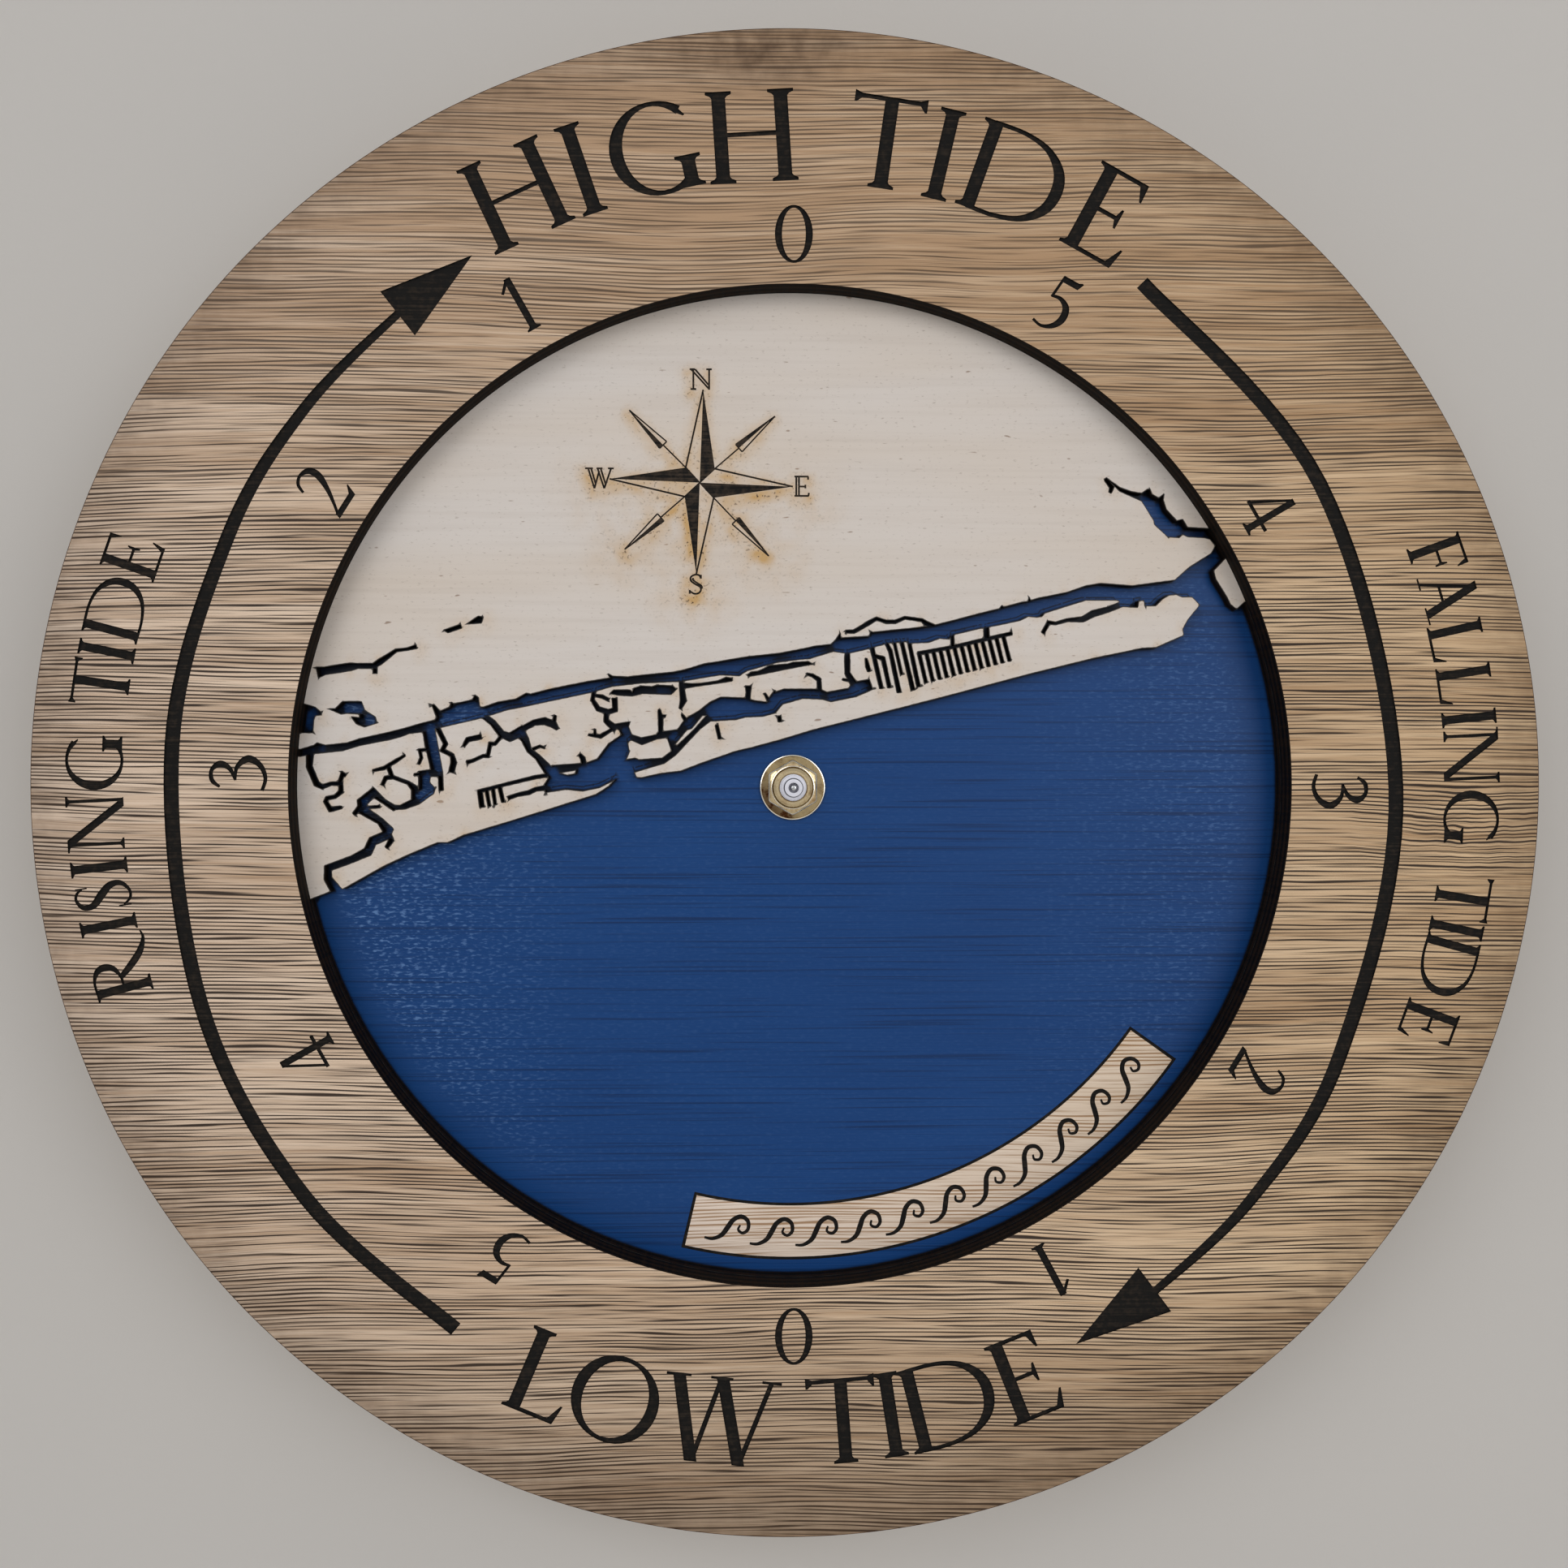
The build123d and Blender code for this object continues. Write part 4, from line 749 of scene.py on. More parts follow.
    # Smoke from the cut darkens the last 14 mm towards the rim in clouds, and the blot lies with it
    brown = linear("46321F")
    rim = add("MapRange", {"Value": from_axis(add, places), "From Min": 138 * MM, "From Max": 154 * MM,
                           "To Max": 0.75})
    mottle = add("TexNoise", {"Vector": places, "Scale": 1 / (4 * MM), "Detail": 4.0})
    cloud = add("Math", {0: near["blot"], 1: 0.9, 2: rim}, operation="MULTIPLY_ADD")
    smoky = add("Math", {0: cloud, 1: mottle}, operation="MULTIPLY")
    smoked = add("Mix", {0: smoky, 6: dotted, 7: brown}, data_type="RGBA")
    # Warmer at the right and greyer at the left; painted shade darkens the foot
    warm = add("MapRange", {"Value": place.outputs["X"], "From Min": -150 * MM, "From Max": 150 * MM})
    cast = add("Mix", {0: warm, 6: linear("FAF6FA"), 7: linear("EBDCC6")}, data_type="RGBA")
    toned = add("Mix", {0: 1.0, 6: smoked, 7: cast}, data_type="RGBA", blend_type="MULTIPLY")
    foot = add("MapRange", {"Value": place.outputs["Z"], "From Min": -100 * MM, "From Max": -155 * MM,
                            "To Max": 0.45})
    relief = add("Math", {0: pores, 1: -0.8, 2: grain["growth"]}, operation="MULTIPLY_ADD")
    join(shader, {
        "Base Color": add("Mix", {0: foot, 6: toned, 7: brown}, data_type="RGBA"),
        "Roughness": add("MapRange", {"Value": grain["growth"], "To Min": 0.52, "To Max": 0.72}),
        "Normal": add("Bump", {"Strength": 0.35, "Distance": 0.12 * MM, "Height": relief})})
    return material


def laser_char(wood, ash):
    """Wood burnt by a laser in close lines: matt black-brown with faint rows and ashy flecks."""
    material, add, shader, places = new_material("Laser-engraved char", IOR=1.45, Specular_IOR_Level=0.25)
    # The beam's rows are 0.1 mm apart; drawn at 0.45 mm so that they show
    drawn = add("Mapping", {"Vector": places, "Scale": (1 / (20 * MM), 1, 1 / (0.45 * MM))})
    rows = add("TexNoise", {"Vector": drawn, "Scale": 1.0, "Detail": 2.0})
    fleck = add("TexNoise", {"Vector": places, "Scale": 1 / (1.1 * MM), "Detail": 3.0})
    mixed = add("Math", {0: rows, 1: 1.1, 2: fleck}, operation="MULTIPLY_ADD")
    lightness = add("MapRange", {"Value": mixed, "From Min": 1.1 - 0.2 * ash, "From Max": 1.5,
                                 "To Max": ash})
    join(shader, {
        "Base Color": add("Mix", {0: lightness, 6: wood.char, 7: linear("4A3E33")}, data_type="RGBA"),
        "Roughness": add("MapRange", {"Value": fleck, "To Min": 0.7, "To Max": 0.95}),
        "Normal": add("Bump", {"Strength": 0.5, "Distance": 0.1 * MM, "Height": mixed})})
    return material


def laser_cut_edge():
    """Plywood cut by a laser: burnt veneers in brown and black layers, with upright beam marks."""
    material, add, shader, places = new_material("Laser-cut plywood edge", IOR=1.45, Specular_IOR_Level=0.12)
    # Veneers 1.2 mm thick run round the edge, so the bands repeat after two
    layers = add("TexWave", {"Vector": places, "Scale": WAVE_PERIOD / (2.4 * MM), "Distortion": 0.4,
                             "Detail": 1.0, "Detail Scale": 3.0},
                 wave_type="BANDS", bands_direction="Y", wave_profile="SIN").outputs["Fac"]
    # Beam marks 0.6 mm apart across the veneers
    upright = add("Mapping", {"Vector": places, "Scale": (1 / (0.6 * MM), 1 / (20 * MM), 1 / (0.6 * MM))})
    beam = add("TexNoise", {"Vector": upright, "Scale": 1.0, "Detail": 2.0})
    mixed = add("Math", {0: layers, 1: 0.6, 2: beam}, operation="MULTIPLY_ADD")
    # The inner cut walls are painted near black, char with painted shade, and the outer rim keeps some brown
    burnt = add("MapRange", {"Value": from_axis(add, places), "From Min": 104 * MM, "From Max": 146 * MM,
                             "To Min": 0.12, "To Max": 0.9})
    lightness = add("MapRange", {"Value": mixed, "From Min": 0.55, "From Max": 1.1, "To Max": burnt})
    join(shader, {
        "Base Color": add("Mix", {0: lightness, 6: linear("080706"), 7: linear("5E412A")}, data_type="RGBA"),
        "Roughness": add("MapRange", {"Value": beam, "To Min": 0.6, "To Max": 0.9}),
        "Normal": add("Bump", {"Strength": 0.4, "Distance": 0.1 * MM, "Height": mixed})})
    return material


def bare_basswood(wood):
    """Sanded pale veneer: faint level grain, a few brown flecks, and smoke stain beside the burns."""
    material, add, shader, places = new_material("Sanded basswood plywood", IOR=1.5, Specular_IOR_Level=0.3)
    # Warm clouds, grain lines, a few flecks and dust-fine dashes, laid over each other: length and
    # height in millimetres, detail, roughness, where the tint starts and is full, its strength and colour
    face = wood.bare_wood
    grain = {}
    for pattern, length, height, detail, roughness, start, full, strength, tint in (
            ("cloud", 120, 20, 2.0, 0.5, 0.42, 0.68, 0.5, "CBBBA9"),
            ("line", 50, 1.2, 4.0, 0.6, 0.45, 0.75, 0.15, "A08E80"),
            ("fleck", 3.5, 1.1, 1.0, 0.5, 0.745, 0.79, 0.7, "7C5F48"),
            ("dash", 1.1, 0.45, 2.0, 0.5, 0.62, 0.76, 0.42, "7A6656")):
        drawn = add("Mapping", {"Vector": places, "Scale": (1 / (length * MM), 1, 1 / (height * MM))})
        grain[pattern] = add("TexNoise", {"Vector": drawn, "Scale": 1.0, "Detail": detail,
                                          "Roughness": roughness})
        shown = add("MapRange", {"Value": grain[pattern], "From Min": start, "From Max": full,
                                 "To Max": strength})
        face = add("Mix", {0: shown, 6: face, 7: linear(tint)}, data_type="RGBA")
    # Smoke stain in patches beside the burns, with grains of soot in it
    smoke = add("Attribute", attribute_name="scorch").outputs["Fac"]
    patchy = add("TexNoise", {"Vector": places, "Scale": 1 / (5 * MM), "Detail": 4.0})
    uneven = add("MapRange", {"Value": patchy, "From Min": 0.3, "From Max": 0.7, "To Min": 0.35,
                              "To Max": 1.15})
    stain = add("Math", {0: smoke, 1: uneven}, operation="MULTIPLY", use_clamp=True)
    smoked = add("Mix", {0: stain, 6: face, 7: wood.scorch}, data_type="RGBA")
    soot = add("TexNoise", {"Vector": places, "Scale": 1 / (0.55 * MM), "Detail": 2.0})
    grainy = add("MapRange", {"Value": soot, "From Min": 0.6, "From Max": 0.68})
    sooted = add("Math", {0: grainy, 1: stain}, operation="MULTIPLY", use_clamp=True)
    smoked = add("Mix", {0: sooted, 6: smoked, 7: linear("3C2818")}, data_type="RGBA")
    # Burnt lip beside every cut, a quarter of a millimetre wide and ragged
    lip = add("Attribute", attribute_name="lip").outputs["Fac"]
    ragged = add("TexNoise", {"Vector": places, "Scale": 1 / (0.9 * MM), "Detail": 2.0})
    torn = add("Math", {0: ragged, 1: 0.5, 2: lip}, operation="MULTIPLY_ADD")
    burnt = add("MapRange", {"Value": torn, "From Min": 0.42, "From Max": 0.75, "To Max": 0.95})
    join(shader, {
        "Base Color": add("Mix", {0: burnt, 6: smoked, 7: wood.char}, data_type="RGBA"),
        "Roughness": add("MapRange", {"Value": grain["line"], "To Min": 0.5, "To Max": 0.7}),
        "Normal": add("Bump", {"Strength": 0.15, "Distance": 0.08 * MM, "Height": grain["line"]})})
    return material


def raw_birch_ply(wood):
    """Untreated plywood back: warm, matt, with wide level figure and short dark pores."""
    material, add, shader, places = new_material("Raw birch plywood", IOR=1.5, Specular_IOR_Level=0.25)
    # Rotary-cut figure about 12 mm wide
    wide = add("Mapping", {"Vector": places, "Scale": (1 / (90 * MM), 1, 1 / (12 * MM))})
    figure = add("TexNoise", {"Vector": wide, "Scale": 1.0, "Detail": 5.0, "Distortion": 0.8})
    # Pores 0.6 mm thick and 12 mm long
    thin = add("Mapping", {"Vector": places, "Scale": (1 / (12 * MM), 1, 1 / (0.6 * MM))})
    pore = add("TexNoise", {"Vector": thin, "Scale": 1.0, "Detail": 2.0})
    tone = add("MapRange", {"Value": figure, "From Min": 0.35, "From Max": 0.65})
    base = add("Mix", {0: tone, 6: wood.raw_ply, 7: linear("B4946A")}, data_type="RGBA")
    lines = add("MapRange", {"Value": pore, "From Min": 0.56, "From Max": 0.7, "To Max": 0.55})
    lined = add("Mix", {0: lines, 6: base, 7: linear("86673F")}, data_type="RGBA")
    # The cutting beam left smoke on the last 8 mm
    rim = add("MapRange", {"Value": from_axis(add, places), "From Min": 144 * MM, "From Max": 153.5 * MM})
    smoky = add("Math", {0: rim, 1: figure}, operation="MULTIPLY")
    join(shader, {
        "Base Color": add("Mix", {0: smoky, 6: lined, 7: linear("3A2616")}, data_type="RGBA"),
        "Roughness": add("MapRange", {"Value": pore, "To Min": 0.62, "To Max": 0.82}),
        "Normal": add("Bump", {"Strength": 0.3, "Distance": 0.1 * MM, "Height": pore})})
    return material


def painted_ply(wood):
    """Blue acrylic brushed on open-grained plywood: dark level grain lines, dust nibs, painted glints, satin
    skin.
    """
    material, add, shader, places = new_material("Brushed acrylic on plywood", IOR=1.48,
                                                 Specular_IOR_Level=0.2)
    # Grain that shows through, brush bands and dust nibs: length and height in millimetres, and roughness
    skin = {}
    for pattern, length, height, roughness in (
            ("grain", 60, 0.6, 0.6),
            ("brush", 60, 15, 0.5),
            ("nib", 1.4, 0.5, 0.5)):
        drawn = add("Mapping", {"Vector": places, "Scale": (1 / (length * MM), 1, 1 / (height * MM))})
        skin[pattern] = add("TexNoise", {"Vector": drawn, "Scale": 1.0, "Detail": 2.0,
                                         "Roughness": roughness})
    dark = add("MapRange", {"Value": skin["grain"], "From Min": 0.55, "From Max": 0.65, "To Max": 0.7})
    light = add("MapRange", {"Value": skin["brush"], "From Min": 0.4, "From Max": 0.7, "To Max": 0.25})
    coat = add("Mix", {0: light, 6: wood.sea_paint, 7: linear("174782")}, data_type="RGBA")
    lined = add("Mix", {0: dark, 6: coat, 7: linear("0A264E")}, data_type="RGBA")
    # Nibs stand thick towards the left and right, more on the left, and carry painted glints; none along the
    # ring, which lies in shade
    across = add("SeparateXYZ", {"Vector": places}).outputs["X"]
    side = add("Math", {0: across}, operation="ABSOLUTE")
    outer = add("MapRange", {"Value": side, "From Min": 45 * MM, "From Max": 88 * MM, "To Min": 0.08,
                             "To Max": 1.0})
    inside = add("MapRange", {"Value": from_axis(add, places), "From Min": 97.5 * MM, "From Max": 92.5 * MM})
    left_bias = add("MapRange", {"Value": across, "From Min": -60 * MM, "From Max": 60 * MM,
                               "To Min": 1.5, "To Max": 0.55})
    nib_and_glint_sides = add("Math", {0: outer, 1: inside}, operation="MULTIPLY")
    nibs_and_glints = add("Math", {0: nib_and_glint_sides, 1: left_bias}, operation="MULTIPLY")
    # Their tops are painted a paler blue, a painted glint
    ridge = add("Math", {0: skin["grain"], 1: -0.35, 2: skin["nib"]}, operation="MULTIPLY_ADD")
    tops = add("MapRange", {"Value": ridge, "From Min": 0.36, "From Max": 0.52, "To Max": 0.5})
    painted_glint = add("Math", {0: tops, 1: nibs_and_glints}, operation="MULTIPLY")
    glinted = add("Mix", {0: painted_glint, 6: lined, 7: linear("6488BA")}, data_type="RGBA")
    # The soot attribute: painted shade with some soot along the shore and in the creeks, and the dark scored
    # guide line
    soot = add("Attribute", attribute_name="soot").outputs["Fac"]
    soot_and_shade = add("MapRange", {"Value": soot, "From Min": 0.1, "From Max": 0.9, "To Max": 0.93})
    raised = add("Math", {0: skin["nib"], 1: nibs_and_glints, 2: skin["grain"]}, operation="MULTIPLY_ADD")
    join(shader, {
        "Base Color": add("Mix", {0: soot_and_shade, 6: glinted, 7: linear("05070C")}, data_type="RGBA"),
        "Roughness": add("MapRange", {"Value": skin["nib"], "To Min": 0.3, "To Max": 0.48}),
        "Normal": add("Bump", {"Strength": 0.45, "Distance": 0.16 * MM, "Height": raised})})
    return material


def turned_metal(name, colour_value, tarnish_and_dark_reflection, roughness, pitch=0.12, centred=True, shaded=False):
    """Metal turned on a lathe: fine rings and a little tarnish, and if shaded a painted dark reflection at
    the lower left.
    """
    material, add, shader, places = new_material(name, Metallic=1.0)
    blotch = add("TexNoise", {"Vector": places, "Scale": 1 / (2.2 * MM), "Detail": 4.0, "Roughness": 0.65})
    brown = add("MapRange", {"Value": blotch, "From Min": 0.48, "From Max": 0.72, "To Max": 0.7})
    if shaded:
        # Painted dark reflection, in the tarnish colour, towards the lower left
        lower_left = add("VectorMath", {0: places, 1: (-0.75, 0, -0.6)}, operation="DOT_PRODUCT")
        painted_dark_reflection = add("MapRange", {"Value": lower_left, "From Min": 2 * MM, "From Max": 5.5 * MM,
                                "To Max": 0.75})
        brown = add("Math", {0: brown, 1: painted_dark_reflection}, operation="ADD", use_clamp=True)
    # Tool rings, drawn at the pitch given in millimetres
    rings = add("TexWave", {"Vector": places, "Scale": WAVE_PERIOD / (pitch * MM), "Distortion": 0.3},
                wave_type="RINGS" if centred else "BANDS", rings_direction="Y").outputs["Fac"]
    join(shader, {
        "Base Color": add("Mix", {0: brown, 6: colour_value, 7: tarnish_and_dark_reflection}, data_type="RGBA"),
        "Roughness": add("MapRange", {"Value": blotch, "From Min": 0.3, "From Max": 0.75,
                                      "To Min": roughness, "To Max": roughness + 0.16}),
        "Normal": add("Bump", {"Strength": 0.12, "Distance": 0.02 * MM, "Height": rings})})
    return material


def moulded_plastic(name, colour_value, roughness=0.42, grit=0.35, contrast=0.12, bore=0.0):
    """Injection-moulded plastic: fine spark-eroded grit, slight flow marks and, if asked, painted shade at
    the gap round a bore.
    """
    material, add, shader, places = new_material(name, IOR=1.53)
    flow = add("TexNoise", {"Vector": places, "Scale": 1 / (14 * MM), "Detail": 3.0, "Distortion": 0.6})
    # Size of the grit in millimetres
    eroded = add("TexNoise", {"Vector": places, "Scale": 1 / (grit * MM), "Detail": 2.0})
    lift = add("MapRange", {"Value": flow, "From Min": 0.35, "From Max": 0.7, "To Max": contrast})
    cloudy = add("Mix", {0: lift, 6: colour_value, 7: linear("8C8C90")}, data_type="RGBA")
    if bore:
        # Painted shade in the gap, dark grey, a tenth of a millimetre over its edge
        painted_gap_shade = add("MapRange", {"Value": from_axis(add, places), "From Min": (bore + 0.16) * MM,
                                  "From Max": (bore + 0.08) * MM})
        cloudy = add("Mix", {0: painted_gap_shade, 6: cloudy, 7: linear("2A2A2C")}, data_type="RGBA")
    join(shader, {
        "Base Color": cloudy,
        "Roughness": add("MapRange", {"Value": eroded, "To Min": roughness - 0.06,
                                      "To Max": roughness + 0.1}),
        "Normal": add("Bump", {"Strength": 0.25, "Distance": 0.04 * MM, "Height": eroded})})
    return material


# Operators


def sheet_materials(wood, face, field=None, ash=0.4):
    """Finishes of a sheet's face, marks, edge, back and fields, in the order of its face numbers."""
    finishes = [face, laser_char(wood, ash), laser_cut_edge(), raw_birch_ply(wood)]
    return finishes + ([field] if field else [])


def node_heights(node):
    """Front and back height of a solid above the wall, in millimetres."""
    low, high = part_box(node)
    return -low.y / MM, -high.y / MM


class CLOCK_OT_tide_ring(bpy.types.Operator):
    """Build the stained ring with its engraved legends, figures and arrows"""
    bl_idname = "clock.tide_ring"
    bl_label = "Tide Ring"

    def execute(self, context):
        wood = context.scene.clock_wood
        front, back = node_heights("tide_ring")
        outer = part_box("tide_ring")[1].x / MM
        inner = front_outlines("tide_ring")[1]
        opening = max(math.hypot(*place) for place in inner)
        ease = 0.2
        stained = open_pore_ply("Stained open-pore plywood", wood.stain_light, wood.stain_dark, wood.pores)
        ring = engraved_sheet("tide_ring_engraved", circle(outer - ease, 480), [circle(opening + ease, 360)],
                              ring_marks(), front, back, wood.engraving_depth / MM,
                              sheet_materials(wood, stained), ease)
        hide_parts("tide_ring")
        return {"FINISHED"}


class CLOCK_OT_land(bpy.types.Operator):
    """Build the pale land and its islands, with the compass rose and smoke stains"""
    bl_idname = "clock.land"
    bl_label = "Land"

    def execute(self, context):
        wood = context.scene.clock_wood
        finishes = sheet_materials(wood, bare_basswood(wood), ash=1.0)
        rose = rose_marks()
        rose_tree = place_tree(beside(rose, 0.5, [0.0]))
        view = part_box("tide_ring")[1].x / MM * SEEN_SHARE
        for node in LAND_NODES:
            loops = front_outlines(node)
            front, back = node_heights(node)
            marks = []
            low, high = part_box(node)
            points = grid(view, 1.4, max(-view, low.x / MM), min(view, high.x / MM), max(-view, low.z / MM),
                          min(view, high.z / MM))
            points += [place for place in beside(loops, 0.6, [-0.28, 0.28]) if math.hypot(*place) < view]
            if node == "land_layer":
                marks = rose
            piece = engraved_sheet(node + "_cut", loops[0], loops[1:], marks, front, back,
                                   wood.rose_depth / MM, finishes, 0.0, (), points)
            corner_tree = place_tree([place for loop in loops for place in loop])
            end_tree = place_tree(dead_ends(loops, 1.6) or loops[0][:1])
            edge_tree = place_tree(beside(loops, 0.2, [0.0]))
            scorch, lip = [], []
            for vertex in piece.data.vertices:
                place = Vector((vertex.co.x / MM, vertex.co.z / MM, 0))
                wander = noise.noise(place * 0.35)
                rim = max(0.0, 1 - corner_tree.find(place)[2] / 2.2) * max(0.0, 0.12 + 0.6 * wander)
                below = rose_tree.find(place + Vector((0.3, 1.0, 0)))[2]
                low = max(0.0, min(1.0, 0.5 - (place.y - ROSE_CENTRE[1]) / 20))
                fringe = max(0.0, 1 - below / 2.3) ** 1.5 * (0.75 + 0.3 * wander)
                haze = max(0.0, 0.34 - below / 30) * low * (1 + wander)
                beyond = end_tree.find(place + Vector((-0.5, 0.7, 0)))[2]
                end = max(0.0, 1 - beyond / 3.4) ** 1.5 * (0.38 + 0.5 * wander)
                scorch.append(max(rim, fringe + haze, end))
                lip.append(max(0.0, 1 - edge_tree.find(place)[2] / 0.26))
            piece.data.attributes.new("scorch", "FLOAT", "POINT").data.foreach_set("value", scorch)
            piece.data.attributes.new("lip", "FLOAT", "POINT").data.foreach_set("value", lip)
            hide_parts(node)
        return {"FINISHED"}


class CLOCK_OT_sea_board(bpy.types.Operator):
    """Build the painted base with its bare plaque"""
    bl_idname = "clock.sea_board"
    bl_label = "Sea Board"

    def execute(self, context):
        wood = context.scene.clock_wood
        front, back = node_heights("base_disc")
        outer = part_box("base_disc")[1].x / MM
        hole = max(math.hypot(*place) for place in front_outlines("base_disc")[1])
        land = [loop for node in LAND_NODES for loop in front_outlines(node)]
        view = outer * SEEN_SHARE
        bare = open_pore_ply("Bare open-pore plywood", linear("EFE6DC"), linear("E2D6C8"), linear("A98C6E"))
        along_shore = beside(land, 0.7, [-1.2, -0.45, 0.0, 0.45, 1.2])
        points = [place for place in along_shore if math.hypot(*place) < view]
        points += grid(view, 1.5, -view, view, -0.45 * view, 0.75 * view)
        # The guide line scored for the islands shows beside them, as they were glued 0.8 mm too low
        islands = [[(x - 0.3, y + 0.8) for x, y in front_outlines(node)[0]] for node in LAND_NODES[1:]]
        scored = beside(islands, 0.5, [-0.25, 0.0, 0.25])
        points += [place for place in scored if math.hypot(*place) < view]
        scored = scored[1::3]
        board = engraved_sheet("sea_board", circle(outer, 480), [circle(hole, 64)], plaque_marks(), front,
                               back, wood.rose_depth / MM, sheet_materials(wood, painted_ply(wood), bare),
                               0.0, [plaque_outline()], points)
        # Painted shade with some soot lies along the shore, and fills the creeks where two shores are less
        # than 2 mm apart
        shore_tree = place_tree(beside(land, 0.3, [0.0]))
        score_tree = place_tree(scored)
        soot = []
        for vertex in board.data.vertices:
            here = Vector((vertex.co.x / MM, vertex.co.z / MM, 0))
            near = sorted(shore_tree.find_range(here, 2.2), key=lambda found: found[2])
            close = near[0][2] if near else 2.2
            width = min((close + found[2] for found in near
                         if (found[0] - here).dot(near[0][0] - here) < -0.5 * found[2] * close), default=3.0)
            shore = max(1 - close / 0.6, (2.1 - width) / 0.6, 0.9 - score_tree.find(here)[2] / 0.25)
            soot.append(max(0.0, min(1.0, shore)))
        board.data.attributes.new("soot", "FLOAT", "POINT").data.foreach_set("value", soot)
        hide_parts("base_disc")
        return {"FINISHED"}


class CLOCK_OT_shaft_metal(bpy.types.Operator):
    """Build the washer, nut and threaded bush in the middle"""
    bl_idname = "clock.shaft_metal"
    bl_label = "Shaft Metal"

    def execute(self, context):
        fittings = context.scene.clock_fittings
        brass = turned_metal("Turned brass", fittings.brass, linear("8A6234"), 0.2)
        plate = turned_metal("Polished brass washer", fittings.washer, linear("4A2A16"), 0.16, 0.2,
                             shaded=True)
        front, back = node_heights("dial_washer")
        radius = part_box("dial_washer")[1].x / MM
        bore = front_outlines("dial_washer")[1]
        hole = max(math.hypot(*place) for place in bore)
        # The washer's lip and the nut's chamfers get a near-white brass: a painted highlight
        edge = turned_metal("Brass with painted highlight", linear("F3EEE2"), linear("D8CDB4"), 0.14)
        washer = turned_piece("washer_turned", [
            (hole, back), (hole, front - 0.05), (radius - 0.5, front - 0.05), (radius - 0.42, front - 0.1),
            (radius - 0.36, front - 0.06), (radius - 0.28, front), (radius - 0.1, front - 0.06),
            (radius, front - 0.25), (radius, back + 0.08), (radius - 0.08, back)], [plate, edge], "root",
            painted_highlight_rows=(4, 5, 6))
        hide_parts("dial_washer")
        front, back = node_heights("hex_nut")
        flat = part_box("hex_nut")[1].x / MM
        hole = max(math.hypot(*place) for place in front_outlines("hex_nut")[1])

        def nut_profile(angle):
            turn = math.degrees(angle) % 60
            reach = min(flat / math.cos(math.radians(min(turn, 60 - turn))), flat * 1.125)
            crown = front - 0.28
            fall = max(0.0, reach - flat * 0.97) * 0.5
            return [(hole, back), (hole, front - 0.3), (hole + 0.28, front), (4.3, front),
                    (4.46, front - 0.05), (4.5, crown), (flat * 0.94, crown), (reach - 0.22, crown - fall),
                    (reach, crown - fall - 0.22), (reach, back + 0.12), (reach - 0.1, back)]

        nut = turned_piece("nut_turned", nut_profile, [brass, edge], "root", count=240,
                           painted_highlight_rows=(1, 3, 7))
        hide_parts("hex_nut")
        front, back = node_heights("threaded_bush")
        bore = min(math.hypot(*place) for place in front_outlines("threaded_bush")[-1])
        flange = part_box("threaded_bush")[1].x / MM
        crest, root, pitch = 3.98, 3.62, 0.75
        rows = [(bore, back), (bore, front - 0.22), (bore + 0.2, front), (3.42, front), (3.58, front - 0.1)]
        height = front - 0.35
        while height - pitch > back + 1.4:
            rows += [(crest, height), (crest, height - 0.1), (root, height - 0.42), (root, height - 0.5)]
            height -= pitch
        rows += [(crest, back + 1.2), (crest, back + 1.0), (flange - 0.1, back + 1.0), (flange, back + 0.9),
                 (flange, back + 0.1), (flange - 0.1, back)]
        bush = turned_piece("bush_threaded", rows, [brass], "root", count=160)
        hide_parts("threaded_bush")
        return {"FINISHED"}


class CLOCK_OT_hand_tubes(bpy.types.Operator):
    """Dress the two white tubes and the pin that carry the hands"""
    bl_idname = "clock.hand_tubes"
    bl_label = "Hand Tubes"

    def execute(self, context):
        fittings = context.scene.clock_fittings
        white = moulded_plastic("Moulded white acetal", fittings.tube, 0.34, 0.3, 0.05)
        steel = turned_metal("Ground steel pin", fittings.steel, linear("6E6A66"), 0.2, 0.1)
        gap = min(math.hypot(*place) for place in front_outlines("tide_wheel")[-1])
        gap_shaded = moulded_plastic("Moulded white acetal, greased bore", fittings.tube, 0.34, 0.3, 0.05, gap)
        eased_copy("tide_wheel", 0.08, gap_shaded, "tide")
        eased_copy("minute_tube", 0.08, white, "minute")
        eased_copy("seconds_wheel", 0.06, steel, "seconds")
        return {"FINISHED"}


